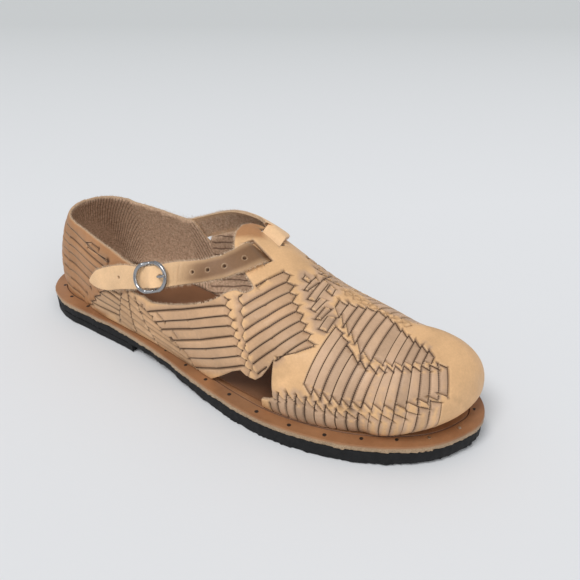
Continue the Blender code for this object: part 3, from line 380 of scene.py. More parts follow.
# Edges of the upper on the chart, drawn as for the outer side
# Back of the rim: share of the heel's arc from its back, girth
HEEL_RIM = ((0, 38.3), (0.13, 38.4), (0.29, 38.8), (0.44, 39.4), (0.60, 40.2), (0.75, 41))
RIM_OUT = ((36, -42), (47, -43.8), (66.6, -48), (78.5, -50.4), (89.6, -53))
RIM_IN = ((36, -42), (47, -43.8), (66.6, -48.2), (78.5, -50), (86, -50.2))
BILLET_OUT = ((98.6, -53.6), (110.3, -49.4), (115.4, -60.8), (106, -64.6), (96, -69.4))
BILLET_IN = ((90, -54), (94, -60.5), (97.5, -63.2))
WING_TOP_OUT = ((101, -70.1), (109, -69.4), (115, -70.2), (122.7, -67.8), (134.6, -63.3),
                (145.6, -58.1), (155.3, -52.6), (160.8, -48), (163.9, -44.2), (166.4, -41),
                (170, -38.2), (173.7, -38), (176, -36.5), (178, -33))
WING_TOP_IN = ((100, -58.2), (103, -56.4), (108, -53.4), (114, -50.0), (118, -47.5), (121, -46.8),
               (125, -48.2), (131, -49.8), (136, -48),
               (146, -44.4), (154, -41.4), (160.8, -39), (166, -37.4), (170, -36.6), (173.7, -36.2),
               (176, -35.2), (178, -32.8))
TAB_EDGE = ((176, -30.8), (170.5, -28.4), (163, -24), (157, -19), (153, -13.2), (150, -7))
TAB_END = (148.7, 0)
SPINE_GAP = ((160, -100), (169, -91.4), (179.5, -81), (185.2, -77), (189.3, -78.4),
             (195.3, -77.6), (198.6, -74), (201.8, -66.8), (203.4, -61), (204.6, -70),
             (206.4, -84.6), (203, -87.5), (198.5, -90), (196.5, -100))
# Slots of the tab on the outer and the inner side
SLOT_OUT = ((159.2, -9.2), (175.6, -14.2))
SLOT_IN = ((155.8, 9.0), (172.6, 4.9))
SLOT_HALF = 3.3

# Tints of the leather, before its grain: linear red, green, blue
PLAIN = (0.74, 0.450, 0.225)
STRIP = (0.58, 0.375, 0.235)
COUNTER = (0.45, 0.215, 0.090)
HEEL_STRIP = (0.42, 0.215, 0.100)
WING = (0.57, 0.350, 0.200)
BRAIDED = (0.56, 0.345, 0.190)
# Near-black painted shade for the gaps of the seams and the punched holes
PAINTED_RECESS_SHADE = (0.05, 0.02, 0.01)


def mirrored(points):
    """The same chart points on the other side of the foot."""
    return [(x, -y) for x, y in points]


def between(a, b, t):
    """Point at share t from a to b."""
    return a[0] + (b[0] - a[0]) * t, a[1] + (b[1] - a[1]) * t


def walk(points, step, closed=False):
    """Chart line with a point about every step, keeping its corners."""
    path = list(points) + ([points[0]] if closed else [])
    rows = []
    for (ax, ay), (bx, by) in zip(path, path[1:]):
        count = max(1, int(round(hypot(bx - ax, by - ay) / step)))
        rows += [(ax + (bx - ax) * i / count, ay + (by - ay) * i / count) for i in range(count)]
    return rows if closed else rows + [path[-1]]


SEAMS = []


def side_of(height, tone, tint):
    """One side of a seam: how high it stands in millimetres, its tone and its tint."""
    return height, tone, tint


def seam(path, left, right, depth=0.8, sides="both"):
    """Adds a seam and its mirror image: left and right are as seen going along it."""
    if sides == "both":
        SEAMS.append((list(path), left, right, depth))
    back = [(x, -y) for x, y in path][::-1]
    SEAMS.append((back, left, right, depth))


def strip_side(row, k, tint=STRIP, lift=0.18):
    """Side of strip k in a row, each with its own tone and height."""
    return side_of(lift * (0.4 + 1.2 * chance(row, k, 1)), 2 * chance(row, k, 2) - 1, tint)


HIGH = side_of(0.42, 0.15, PLAIN)
LOW_LIFT = -0.30


def low_side(row, k, tint=STRIP):
    """End of strip k where it dives under its neighbour."""
    return side_of(LOW_LIFT, 2 * chance(row, k, 2) - 1, tint)


# Woven rows of the vamp: parallelogram strips with both ends slanting forward and down.
# Columns: place on the loop, girth of the rear corner and of the front corner.
ROW_A_STEP, ROW_A_FIRST, ROW_A_COUNT = 4.92, 204.4, 17
ROW_A_TOP = ((198, 86, 91), (206, 81, 87), (214, 76.8, 82.5), (250, 76.3, 81.8), (262, 70.5, 76), (284, 55.5, 61))
ROW_C_STEP, ROW_C_FIRST, ROW_C_COUNT = 4.6, 221.8, 15
ROW_C_BOTTOM = ((220, 67.3, 72.5), (252, 67.3, 72.5), (262, 63.5, 68.3), (272, 58, 63), (288, 53, 58))
ROW_C_TOP = ((221.8, 29, 26.7), (226.6, 33, 31), (230.9, 36.9, 34.8), (236, 40.8, 41), (240.5, 42.8, 46),
             (248, 43.4, 48), (255, 40.4, 45), (264, 37.6, 42), (288, 36.5, 41))
# Rear sides of the strips of the row next the ridge: top and bottom
ROW_E = (((215.9, -10.9), (216.8, -18.2)), ((220.5, -9.0), (221.6, -20.5)), ((224.9, -6.7), (226.2, -25.0)),
         ((228.8, -4.4), (230.9, -29.2)), ((234.0, -1.8), (235.6, -33.0)), ((239.6, -2.4), (240.6, -38.2)),
         ((244.9, -4.9), (246.4, -40.2)), ((250.2, -8.6), (252.6, -39.2)), ((256, -11.7), (258.2, -37.2)),
         ((261, -14), (263.4, -34)), ((266, -15.8), (268.2, -30.5)), ((271, -17), (272.6, -26.7)),
         ((275.5, -17.5), (276.6, -22.7)))
# Short blocks on the instep, corner by corner
BLOCKS = (
    ((193.7, -6.9), (197.8, -7.7), (198.5, -10.5), (194.2, -10.2)),
    ((198, -2.9), (201.6, -5.4), (200.5, -16), (198.8, -17)),
    ((201.6, -.4), (205.3, -2.3), (207.1, -20), (203.3, -21.3)),
    ((206.1, -1.5), (210.2, -3.4), (211.4, -9.4), (207.2, -8.4)),
    ((207.8, -15.9), (211.2, -15), (210.5, -26.3), (207.7, -26.1)),
    ((212.8, -20.1), (216.3, -18.6), (215.2, -29.2), (212.7, -30.5)),
    ((216.8, -25), (220.8, -22.7), (221.1, -34.7), (216.9, -35.1)),
)


def weave_row(row, places, top, bottom, tint=STRIP):
    """A row of strips: places give the seams, top and bottom the corner points by strip and end."""
    count = len(places) - 1
    for k in range(count + 1):
        left = strip_side(row, k - 1, tint) if k > 0 else HIGH
        right = strip_side(row, k, tint) if k < count else HIGH
        first = top(k, 0) if k < count else top(k - 1, 1)
        last = bottom(k - 1, 1) if k > 0 else bottom(k, 0)
        seam([last, first], left, right)
        if k < count:
            seam([top(k, 0), top(k, 1)], HIGH, low_side(row, k, tint), 0.75)
            if bottom(k, 2):
                seam([bottom(k, 0), bottom(k, 1)], low_side(row, k, tint), HIGH, 0.6)


def vamp():
    """Rows of the vamp and the blocks on the instep."""
    places = [ROW_A_FIRST + ROW_A_STEP * k for k in range(ROW_A_COUNT)]

    def top_a(k, end):
        return chart(places[k + end], smooth(ROW_A_TOP, places[k + end], 1 + end))

    def bottom_a(k, end):
        if end == 2:
            return False
        return chart(places[k + end] - 1.2, FEATHER - 1.2)

    weave_row(1, places, top_a, bottom_a)
    spots = [ROW_C_FIRST + ROW_C_STEP * k for k in range(ROW_C_COUNT)]

    def lean(place):
        return 1.5 + 3.5 * ramp(place, 256, 286)

    def top_c(k, end):
        return chart(spots[k + end] + lean(spots[k]), smooth(ROW_C_TOP, spots[k + end], 1 + end))

    def bottom_c(k, end):
        return True if end == 2 else chart(spots[k + end], smooth(ROW_C_BOTTOM, spots[k + end], 1 + end))

    weave_row(2, spots, top_c, bottom_c)

    def top_e(k, end):
        x, y = ROW_E[k + end][0]
        return (x + (0.3 if end else 0), y - (1.6 if end else -0.9))

    def bottom_e(k, end):
        if end == 2:
            return True
        x, y = ROW_E[k + end][1]
        return (x, y - (1.6 if end else -1.6))

    weave_row(3, list(range(len(ROW_E))), top_e, bottom_e)
    for index, block in enumerate(BLOCKS):
        ring = list(block) + [block[0]]
        tone = strip_side(4, index)
        for k, (a, b) in enumerate(zip(ring, ring[1:])):
            if k % 2:
                seam([a, b], tone, strip_side(5, index * 4 + k), 0.7)
            else:
                seam([a, b], low_side(4, index), HIGH, 0.7)
    for k in range(9):
        x = 213.5 + 4.6 * k
        y = 2.2 - 0.35 * k
        seam([(x, y - 2.6), (x + 2.2, y + 0.6)], HIGH, side_of(-0.1, 0.0, PLAIN), 0.45)


# Spine, diagonal strips, wing, braid and fan

STRIP_REAR = ((172.7, -41.1), (177.2, -43.8), (179.9, -49.2), (183, -55), (185.5, -60.5), (188.9, -65.5),
              (192.4, -69.6), (196.2, -73.6))
STRIP_TOP = ((184.6, -13.7), (189.4, -18.6), (194.0, -23.6), (198.2, -28.2), (202.6, -31.9), (206.9, -36.0),
             (210.8, -40.2), (215.0, -43.8), (219, -46))
STRIP_CORNER = ((188.2, -13.2), (193.6, -18.0), (197.6, -23.0), (201.9, -28.0), (206.5, -31.5), (210.6, -36.0),
                (215.0, -40.0), (218.9, -44.6))
WING_TIPS = (((107.5, -74.2), (111, -77.3)), ((120.1, -74.2), (125.9, -77.4)), ((118.2, -80.8), (122.1, -84.2)),
             ((132.1, -80.4), (136.2, -83.8)), ((132, -87), (136.5, -90.4)), ((139.7, -89.4), (144, -93)),
             ((144.5, -94.5), (147, -99)))
WING_STARTS = ((111, -77.3), (118.2, -80.8), (122.1, -84.2), (132, -87), (136.5, -90.4), (144, -93),
               (147, -99))
SPINE_REAR = ((164.2, -44.6), (191.0, -77.2))
# Two strips more on the inner side, where the wing reaches higher
INNER_STRIPS = (
    ((98.5, -66.5), (112, -66), (130, -59.5), (150, -51), (163.5, -44.6)),
    ((99.5, -71), (108, -72), (122, -69.6), (140, -62.5), (156, -54), (165, -48.5)),
)
WING_STRIPS = 8
BRAID_COLUMNS = ((88.5, -75, 83.5, -96), (95, -72, 97.5, -98), (101.5, -73, 116, -98.5), (107.5, -74.2, 149, -98.5))
BRAID_ROWS = (5, 5, 6)
FAN_TIPS = ((74.5, -74.6), (71.2, -76.7), (67, -81.3), (60.7, -86.9), (54.9, -93.4), (49.9, -98.8))


def spine_seams():
    """Strips that rise from the spine to the instep, with their pointed rear ends and stepped front ends."""
    count = len(STRIP_REAR)
    for k in range(count):
        upper = strip_side(6, k - 1, WING) if k else side_of(0.3, 0.2, PLAIN)
        bend = between(STRIP_REAR[k], STRIP_TOP[k], 0.5)
        path = [STRIP_REAR[k], (bend[0] + 0.5, bend[1] - 0.9), STRIP_TOP[k]]
        seam(path, upper, strip_side(6, k, WING), 0.9)
        seam([STRIP_TOP[k], STRIP_CORNER[k]], side_of(0.3, 0.1, PLAIN), low_side(6, k, WING), 0.7)
        after = STRIP_TOP[k + 1]
        seam([after, STRIP_CORNER[k]], strip_side(6, k, WING), side_of(0.1, 0.0, PLAIN), 0.7)
    for k in range(count - 1):
        a, b = STRIP_REAR[k], STRIP_REAR[k + 1]
        notch = (between(a, b, 0.75)[0] - 2.4, between(a, b, 0.75)[1] + 0.6)
        seam([a, notch], side_of(0.35, 0.1, PLAIN), low_side(6, k, WING), 0.7)
        seam([notch, b], side_of(0.35, 0.1, PLAIN), low_side(6, k, WING), 0.7)
    seam([(179.2, -31.0), (181.2, -22), (183.8, -14.6)], side_of(0.25, 0.3, PLAIN), side_of(0.0, 0.1, PLAIN), 0.5)
    seam([(204.6, -59.8), (212.5, -53.2), (219, -46)], strip_side(6, count - 1, WING), side_of(0.3, 0.0, PLAIN), 0.8)


def wing_seams():
    """Long strips of the wing, pointed at the spine and at the braid."""
    for k in range(1, WING_STRIPS):
        end = between(SPINE_REAR[0], SPINE_REAR[1], k / WING_STRIPS)
        start = WING_STARTS[k - 1]
        mid = between(start, end, 0.5)
        path = [start, (mid[0], mid[1] - 0.5), (end[0] - 1.6, end[1] - 0.6), end]
        seam(path, strip_side(7, k - 1, WING), strip_side(7, k, WING), 0.95)
    for k in range(WING_STRIPS):
        a = between(SPINE_REAR[0], SPINE_REAR[1], k / WING_STRIPS)
        b = between(SPINE_REAR[0], SPINE_REAR[1], (k + 1) / WING_STRIPS)
        point = (between(a, b, 0.35)[0] + 2.6, between(a, b, 0.35)[1] + 0.9)
        seam([b, point], low_side(7, k, WING), side_of(0.4, 0.2, PLAIN), 0.8)
        seam([point, a], low_side(7, k, WING), side_of(0.4, 0.2, PLAIN), 0.8)
    for k, (upper, lower) in enumerate(WING_TIPS):
        seam([upper, lower], strip_side(7, k, WING), side_of(LOW_LIFT, 0, BRAIDED), 0.8)
    for k, path in enumerate(INNER_STRIPS):
        seam(path, strip_side(12, k, WING), strip_side(12, k + 1, WING), 0.9, "inner")


def braid_seams():
    """Small scales of the braid and the fan of strips behind it."""
    for index, column in enumerate(BRAID_COLUMNS):
        start, end = column[:2], column[2:]
        if index < 3:
            seam([start, end], side_of(0.15, -0.2, BRAIDED), side_of(0.3, 0.2, BRAIDED), 0.75)
        if index:
            before = BRAID_COLUMNS[index - 1]
            rows = BRAID_ROWS[index - 1]
            for k in range(rows):
                share = (k + 0.5 * (index % 2) + 0.3) / rows
                if share > 0.98:
                    continue
                a = between(before[:2], before[2:], max(share - 0.06, 0))
                b = between(start, end, min(share + 0.05, 1))
                low = side_of(-0.45, 2 * chance(8, index, k) - 1, BRAIDED)
                top = side_of(0.6, 2 * chance(8, index, k + 1) - 1, BRAIDED)
                seam([a, b], top, low, 0.95)
    first = BRAID_COLUMNS[0]
    for k, tip in enumerate(FAN_TIPS[:-1]):
        meet = between(first[:2], first[2:], (k + 0.25) / (len(FAN_TIPS) - 0.6))
        seam([tip, between(tip, meet, 0.5), meet], strip_side(9, k, BRAIDED), strip_side(9, k + 1, BRAIDED), 1.0)
        point = between(tip, FAN_TIPS[k + 1], 0.5)
        notch = (point[0] + 3.2, point[1] + 0.4)
        seam([tip, notch], low_side(9, k, BRAIDED), side_of(0.3, 0, COUNTER), 0.7)
        seam([notch, FAN_TIPS[k + 1]], low_side(9, k, BRAIDED), side_of(0.3, 0, COUNTER), 0.7)


# Strips wrapped round the heel
WRAP_BACK = (43.0, 49.0, 54.5, 60.0, 66.5, 73.5, 80.5, 89.0)
WRAP_STEM = ((75.5, -58.5), (73.8, -62.5), (71.6, -66.5), (67.3, -71.5), (62.4, -76.4), (56.8, -81.6),
             (50.2, -88.8), (44, -95.5))


def heel_seams():
    """Slits of the counter, tight at the heel's back and ending before the stem."""
    for k, back in enumerate(WRAP_BACK):
        start = -8.0 + 2.5 * chance(10, k)
        if k < 2:
            start = 12.0 + 7 * k
        path = [chart(start, back)]
        for loop in (4, 14, 24, 32):
            if loop > start:
                path.append(chart(loop, back + (loop + 8) * 0.10))
        path += [between(path[-1], WRAP_STEM[k], 0.5), WRAP_STEM[k]]
        tone = side_of(0.22, 0.5 * (2 * chance(10, k, 3) - 1), HEEL_STRIP)
        other = side_of(0.05, 0.5 * (2 * chance(10, k + 1, 3) - 1), HEEL_STRIP)
        seam(path, tone, other, 0.95)
    seam([(66, -52.2), (58, -50.6), (52.1, -51.8), (54.5, -54.4), (75, -57.2)], side_of(0.05, 0.1, HEEL_STRIP),
         side_of(0.1, 0.2, COUNTER), 0.8)


vamp()
spine_seams()
wing_seams()
braid_seams()
heel_seams()


# Fine wall of the upper

EDGE_STEP = 1.1
SEAM_STEP = 1.3
RINGS = (0.16, 0.42, 1.0)
FILL_STEP = 2.6
EDGE_RINGS = (0.35, 0.9)
LINING_STEP = 3.4


def feather_loop():
    """Outer edge of the chart with the gaps under the two spines."""
    heel = HEEL_CENTRE - HEEL_ARC
    toe = TOE_CENTRE + TOE_ARC

    def run(start, end):
        count = max(1, int(round((end - start) / (1.6 * EDGE_STEP))))
        return [chart(start + (end - start) * i / count, FEATHER) for i in range(count + 1)]

    half = run(heel, SPINE_GAP[0][0]) + walk(SPINE_GAP[1:-1], EDGE_STEP) + run(SPINE_GAP[-1][0], toe)
    return half + mirrored(half)[-2:0:-1]


def rounded(points, closed=False):
    """Chart line with its corners cut once, for soft cut edges."""
    rows = []
    count = len(points)
    for i in range(count if closed else count - 1):
        a, b = points[i], points[(i + 1) % count]
        rows += [between(a, b, 0.25), between(a, b, 0.75)]
    return rows if closed else [points[0]] + rows + [points[-1]]


def collar_loop():
    """Edge of the collar, the side openings and the tab."""
    heel = [chart(HEEL_CENTRE - HEEL_ARC * (1 - share), girth) for share, girth in HEEL_RIM]
    tab = rounded(rounded(list(WING_TOP_OUT) + list(TAB_EDGE)))
    outer = heel[1:] + list(RIM_OUT) + list(BILLET_OUT) + tab
    tab = rounded(rounded(list(WING_TOP_IN) + list(TAB_EDGE)))
    inner = heel[1:] + list(RIM_IN) + list(BILLET_IN) + tab
    path = [heel[0]] + outer + [TAB_END] + mirrored(inner)[::-1]
    return walk(path, EDGE_STEP, closed=True)


def slot_loop(slot):
    """A slot in the tab, for the strap."""
    (ax, ay), (bx, by) = slot
    size = hypot(bx - ax, by - ay)
    nx, ny = -(by - ay) / size * SLOT_HALF, (bx - ax) / size * SLOT_HALF
    corners = [(ax + nx, ay + ny), (bx + nx, by + ny), (bx - nx, by - ny), (ax - nx, ay - ny)]
    return walk(corners, EDGE_STEP, closed=True)


def inside(loops, points):
    """Whether each point lies inside the loops, by the even and odd rule."""
    odd = np.zeros(len(points), dtype=bool)
    px, py = points[:, 0], points[:, 1]
    for loop in loops:
        ring = np.array(loop)
        for (ax, ay), (bx, by) in zip(ring, np.roll(ring, -1, axis=0)):
            if ay == by:
                continue
            crosses = (ay > py) != (by > py)
            odd ^= crosses & (px < (bx - ax) * (py - ay) / (by - ay) + ax)
    return odd


class Nearest:
    """Nearest piece of a set of lines, with the side of it that a point is on."""

    SPACING = 0.5

    def __init__(self, lines):
        self.a, self.b, self.line = [], [], []
        samples = []
        for index, line in enumerate(lines):
            for p, q in zip(line, line[1:]):
                self.a.append(p)
                self.b.append(q)
                self.line.append(index)
                size = hypot(q[0] - p[0], q[1] - p[1])
                count = max(1, int(size / self.SPACING))
                for i in range(count + 1):
                    samples.append((p[0] + (q[0] - p[0]) * i / count, p[1] + (q[1] - p[1]) * i / count,
                                    len(self.a) - 1))
        self.tree = kdtree.KDTree(len(samples))
        for i, (x, y, _) in enumerate(samples):
            self.tree.insert((x, y, 0), i)
        self.tree.balance()
        self.owner = [s[2] for s in samples]

    def find(self, x, y):
        """Distance, index of the line, and 1 for its left side or -1 for its right side."""
        best, line, side = 1e9, -1, 1
        seen = set()
        for _, index, _ in self.tree.find_n((x, y, 0), 6):
            piece = self.owner[index]
            if piece in seen:
                continue
            seen.add(piece)
            (ax, ay), (bx, by) = self.a[piece], self.b[piece]
            dx, dy = bx - ax, by - ay
            size = dx * dx + dy * dy
            t = min(max(((x - ax) * dx + (y - ay) * dy) / size, 0), 1)
            cx, cy = x - ax - t * dx, y - ay - t * dy
            d = hypot(cx, cy)
            if d < best - 1e-6:
                best, line = d, self.line[piece]
                side = 1 if dx * (y - ay) - dy * (x - ax) > 0 else -1
        return best, line, side


def clipped(path, loops, edges, margin, step):
    """Pieces of a path that lie inside the loops and clear of their edges."""
    points = np.array(walk(path, step))
    good = inside(loops, points)
    pieces, run = [], []
    for p, ok in zip(points, good):
        if ok and edges.find(p[0], p[1])[0] > margin:
            run.append((float(p[0]), float(p[1])))
            continue
        if len(run) > 1:
            pieces.append(run)
        run = []
    if len(run) > 1:
        pieces.append(run)
    return pieces


def rim_edges(faces):
    """Edges used by one face only, in the face's direction."""
    seen = set()
    for a, b, c in faces:
        seen.update(((a, b), (b, c), (c, a)))
    return [edge for edge in seen if (edge[1], edge[0]) not in seen]


def chain(edges):
    """Closed rings from directed edges, the longest first."""
    after = dict(edges)
    rings = []
    while after:
        here = min(after)
        ring = []
        while here in after:
            ring.append(here)
            here = after.pop(here)
        rings.append(ring)
    return sorted(rings, key=len, reverse=True)


def triangulate(loops, lines, extra):
    """Triangles of the region inside the loops, with the lines as edges."""
    verts, edges = [], []
    for loop in loops:
        start = len(verts)
        verts += [Vector(p) for p in loop]
        edges += [(start + i, start + (i + 1) % len(loop)) for i in range(len(loop))]
    for line in lines:
        start = len(verts)
        verts += [Vector(p) for p in line]
        edges += [(start + i, start + i + 1) for i in range(len(line) - 1)]
    verts += [Vector(p) for p in extra]
    out = geometry.delaunay_2d_cdt(verts, edges, [], 0, 0.004, False)
    points = np.array([tuple(v) for v in out[0]])
    faces = np.array(out[2])
    keep = inside(loops, points[faces].mean(axis=1))
    return points, faces[keep]


def beside(lines, nearest, offset, step):
    """Points at an offset on both sides of lines, where no other line is nearer."""
    rows = []
    for line in lines:
        for (ax, ay), (bx, by) in zip(line, line[1:]):
            size = hypot(bx - ax, by - ay)
            if size < 1e-6:
                continue
            nx, ny = -(by - ay) / size * offset, (bx - ax) / size * offset
            count = max(1, int(round(size / step)))
            for i in range(count):
                t = (i + 0.5) / count
                mx, my = ax + (bx - ax) * t, ay + (by - ay) * t
                rows += [(mx + nx, my + ny), (mx - nx, my - ny)]
    return [p for p in rows if nearest.find(*p)[0] > offset * 0.92]


def grid_points(loops, step):
    """Staggered grid of chart points inside the loops."""
    corners = np.concatenate([np.array(loop) for loop in loops])
    low, high = corners.min(axis=0), corners.max(axis=0)
    rows = []
    for k, y in enumerate(np.arange(low[1], high[1], step * 0.87)):
        for x in np.arange(low[0] + (k % 2) * step / 2, high[0], step):
            rows.append((x, y))
    points = np.array(rows)
    return points[inside(loops, points)]


def set_attribute(data, name, values):
    """Float attribute on the mesh's vertices."""
    layer = data.attributes.new(name, "FLOAT", "POINT")
    layer.data.foreach_set("value", np.asarray(values, dtype=np.float32))


def set_colors(data, name, values):
    """Colour attribute on the mesh's vertices."""
    layer = data.attributes.new(name, "FLOAT_COLOR", "POINT")
    flat = np.c_[values, np.ones(len(values))].astype(np.float32).ravel()
    layer.data.foreach_set("color", flat)


def make_object(name, points, faces, material, sharp=None):
    """Object from arrays of points and faces."""
    data = bpy.data.meshes.new(name)
    data.from_pydata([tuple(p) for p in points], [], [tuple(int(i) for i in f) for f in faces])
    data.update()
    data.shade_smooth()
    if sharp:
        data.set_sharp_from_angle(angle=sharp)
    made = bpy.data.objects.new(name, data)
    bpy.context.scene.collection.objects.link(made)
    data.materials.append(material)
    return made


def plain_tint(points):
    """Tint of the leather away from seams: orange-brown counter, light tan elsewhere."""
    x, y = points[:, 0], np.abs(points[:, 1])
    # The counter ends at the stem, which slants forward from the heel's feather to the billet.
    stem = 60 + (100 - y) * 0.95
    share = 1 - ramps(x, stem + 6, stem + 12)
    share = np.maximum(share, (1 - ramps(x, 108, 124)) * (1 - ramps(y, 66, 69)))
    return np.array(COUNTER) * share[:, None] + np.array(PLAIN) * (1 - share[:, None])


def make_upper(material):
    """Wall of the upper with its strips in relief, its cut edges and its lining."""
    loops = [feather_loop(), collar_loop(), slot_loop(SLOT_OUT), slot_loop(SLOT_IN)]
    edge_lines = [loop + [loop[0]] for loop in loops]
    edges = Nearest(edge_lines)
    lines, facts = [], []
    for path, left, right, depth in SEAMS:
        for piece in clipped(path, loops, edges, 0.7, SEAM_STEP):
            lines.append(piece)
            facts.append((left, right, depth))
    seams = Nearest(lines)
    extra = []
    for offset in RINGS:
        ring = beside(lines, seams, offset, SEAM_STEP * (1 if offset < 0.8 else 1.4))
        extra += [p for p in ring if edges.find(*p)[0] > 0.3]
    for offset in EDGE_RINGS:
        ring = beside(edge_lines, edges, offset, 1.2)
        extra += [p for p in ring if seams.find(*p)[0] > 0.3]
    ring_array = np.array(extra)
    extra = list(ring_array[inside(loops, ring_array)])
    fill = grid_points(loops, FILL_STEP)
    extra += [p for p in fill if seams.find(*p)[0] > RINGS[-1] + 0.6 and edges.find(*p)[0] > 1.4]
    points, faces = triangulate(loops, lines, extra)
    used = np.unique(faces)
    renumber = -np.ones(len(points), dtype=int)
    renumber[used] = np.arange(len(used))
    points, faces = points[used], renumber[faces]
    count = len(points)
    gap, index, side = np.empty(count), np.empty(count, int), np.empty(count, int)
    edge_gap = np.empty(count)
    for i, (x, y) in enumerate(points):
        gap[i], index[i], side[i] = seams.find(x, y)
        edge_gap[i] = edges.find(x, y)[0]
    near = [facts[index[i]][0 if side[i] > 0 else 1] for i in range(count)]
    height = np.array([row[0] for row in near])
    tone = np.array([row[1] for row in near])
    depth = np.array([facts[i][2] for i in index])
    tint = np.array([row[2] for row in near])
    height = np.where(gap < 0.04, 0, height)
    fade = np.where(height < 0, 1 - ramps(gap, 0.4, 3.2), 1 - ramps(gap, 0.5, 2.4))
    groove = 1 - ramps(gap, 0.0, 0.38)
    shoulder = 0.42 * (1 - ramps(gap, 0.0, 2.1))
    level = height * fade - depth * groove - shoulder
    level -= 0.5 * (1 - ramps(edge_gap, 0.0, 0.5)) * 0.6
    reach = ramps(gap, 2.2, 4.2)[:, None]
    plain = plain_tint(points)
    tint = tint * (1 - reach) + plain * reach
    side_points, _ = on_last(points, level * MM)
    rim = chain(rim_edges(faces))
    rings = [[tuple(points[v]) for v in ring] for ring in rim]
    ring_lines = [ring + [ring[0]] for ring in rings]
    ring_near = Nearest(ring_lines)
    fill = [p for p in grid_points(rings, LINING_STEP) if ring_near.find(*p)[0] > 1.0]
    lining_points, lining_faces = triangulate(rings, [], fill)
    relief = lining_relief(lining_points, seams)
    lining_gap = np.array([ring_near.find(x, y)[0] for x, y in lining_points])
    lining_level = -WALL / MM - relief * ramps(lining_gap, 0.5, 3) + 0.25 * (1 - ramps(lining_gap, 0, 0.5))
    lining_side, _ = on_last(lining_points, lining_level * MM)
    lookup = {(round(x, 3), round(y, 3)): i for i, (x, y) in enumerate(lining_points)}
    walls, middle, middle_rows = [], [], {}
    for ring in rim:
        for v in ring:
            middle_rows[v] = count + len(lining_points) + len(middle)
            partner = lookup[(round(points[v][0], 3), round(points[v][1], 3))]
            middle.append((side_points[v] + lining_side[partner]) / 2)
    for ring in rim:
        for a, b in zip(ring, ring[1:] + ring[:1]):
            ia = count + lookup[(round(points[a][0], 3), round(points[a][1], 3))]
            ib = count + lookup[(round(points[b][0], 3), round(points[b][1], 3))]
            ma, mb = middle_rows[a], middle_rows[b]
            walls += [(b, a, ma), (b, ma, mb), (mb, ma, ia), (mb, ia, ib)]
    all_points = np.r_[side_points, lining_side, np.array(middle)]
    all_faces = np.r_[faces, lining_faces[:, ::-1] + count, np.array(walls)]
    made = make_object("upper_leather", all_points, all_faces, material)
    zero, one = np.zeros(len(lining_points)), np.ones(len(lining_points))
    rest = len(middle)
    # The deepest seams gape a little.
    breadth = np.where(depth >= 0.9, 1.45, 1.0)
    # Painted shade: near-black in the gaps of the seams, wider where they gape
    recess_shade = (1 - ramps(gap / breadth, 0.10, 0.46)) * ramps(depth, 0.2, 0.8)
    light = ramps(gap, 0.2, 0.42) * (1 - ramps(gap, 0.45, 1.0)) * np.where(height >= 0, 1.0, 0.4)
    shade = np.where(height < 0, 1 - ramps(gap, 0.2, 2.2), 0)
    set_colors(made.data, "tint", np.r_[tint, np.tile((0.10, 0.05, 0.03), (len(one), 1)),
                                        np.tile((0.55, 0.36, 0.22), (rest, 1))])
    set_attribute(made.data, "tone", np.r_[tone, zero, np.zeros(rest)])
    set_attribute(made.data, "recess_shade", np.r_[recess_shade, zero, np.zeros(rest)])
    set_attribute(made.data, "light", np.r_[light, zero, np.zeros(rest)])
    set_attribute(made.data, "shade", np.r_[shade, zero, np.zeros(rest)])
    raw = 1 - ramps(edge_gap, 0.05, 0.5)
    set_attribute(made.data, "raw", np.r_[raw * 0.6, 0.7 * (1 - ramps(lining_gap, 0.1, 0.9)), np.ones(rest)])
    set_attribute(made.data, "inner", np.r_[np.zeros(count), one, np.zeros(rest)])
    flat = np.r_[points, lining_points, np.zeros((rest, 2))]
    layer = made.data.attributes.new("chart", "FLOAT_VECTOR", "POINT")
    layer.data.foreach_set("vector", np.c_[flat, np.zeros(len(flat))].astype(np.float32).ravel())
    print("upper_leather", len(all_faces), "triangles")
    return made


def lining_relief(points, seams):
    """Bulges of the strips on the inside, in millimetres."""
    x, y = points[:, 0], points[:, 1]
    woven = ramps(np.hypot(x - 150, 0), 0, 1)
    waves = 0.22 * np.sin(x * 1.35) * np.sin(np.abs(y) * 0.55)
    near_wing = ramps(x, 86, 96)
    heel = (1 - ramps(x, 20, 60)) * ramps(np.abs(y) + 40, 40, 50)
    slats = 0.25 * np.sin(np.hypot(x - HEEL_CENTRE, y) * 1.25 + 0.6 * np.sin(x * 0.3))
    return waves * near_wing * woven + slats * heel


# Fibres of raw leather

FIBRE_HALF = 0.085


def fibre(key, index, flat, level, ahead, rise):
    """Corners of a fibre: chart place, level, the way it lies on the chart and how far its tip stands off."""
    size = 0.6 + 1.3 * chance(key, index, 1)
    turn = 1.6 * (chance(key, index, 2) - 0.5)
    ax = ahead[0] * cos(turn) - ahead[1] * sin(turn)
    ay = ahead[0] * sin(turn) + ahead[1] * cos(turn)
    tip = (flat[0] + ax * size, flat[1] + ay * size)
    side = (-ay * FIBRE_HALF, ax * FIBRE_HALF)
    low = (flat[0] - side[0], flat[1] - side[1])
    high = (flat[0] + side[0], flat[1] + side[1])
    return (low, high, tip), (level, level, level + rise * size * chance(key, index, 3))


def edge_fibres(path, loops, key, count):
    """Fibres along a cut edge of the upper, each standing out of the leather."""
    rows, spots, ways = [], [], []
    for index in range(count):
        k = int(chance(key, index, 4) * (len(path) - 1))
        (ax, ay), (bx, by) = path[k], path[k + 1]
        size = hypot(bx - ax, by - ay) + 1e-9
        out = (-(by - ay) / size, (bx - ax) / size)
        spots.append(between(path[k], path[k + 1], chance(key, index, 5)))
        ways.append(out)
    leather_side = inside(loops, np.array(spots) + 0.4 * np.array(ways))
    for index, (here, out) in enumerate(zip(spots, ways)):
        turned = (-out[0], -out[1]) if leather_side[index] else out
        level = -WALL / MM * (0.15 + 0.8 * chance(key, index, 6))
        rows.append(fibre(key, index, here, level, turned, 0.4))
    return rows


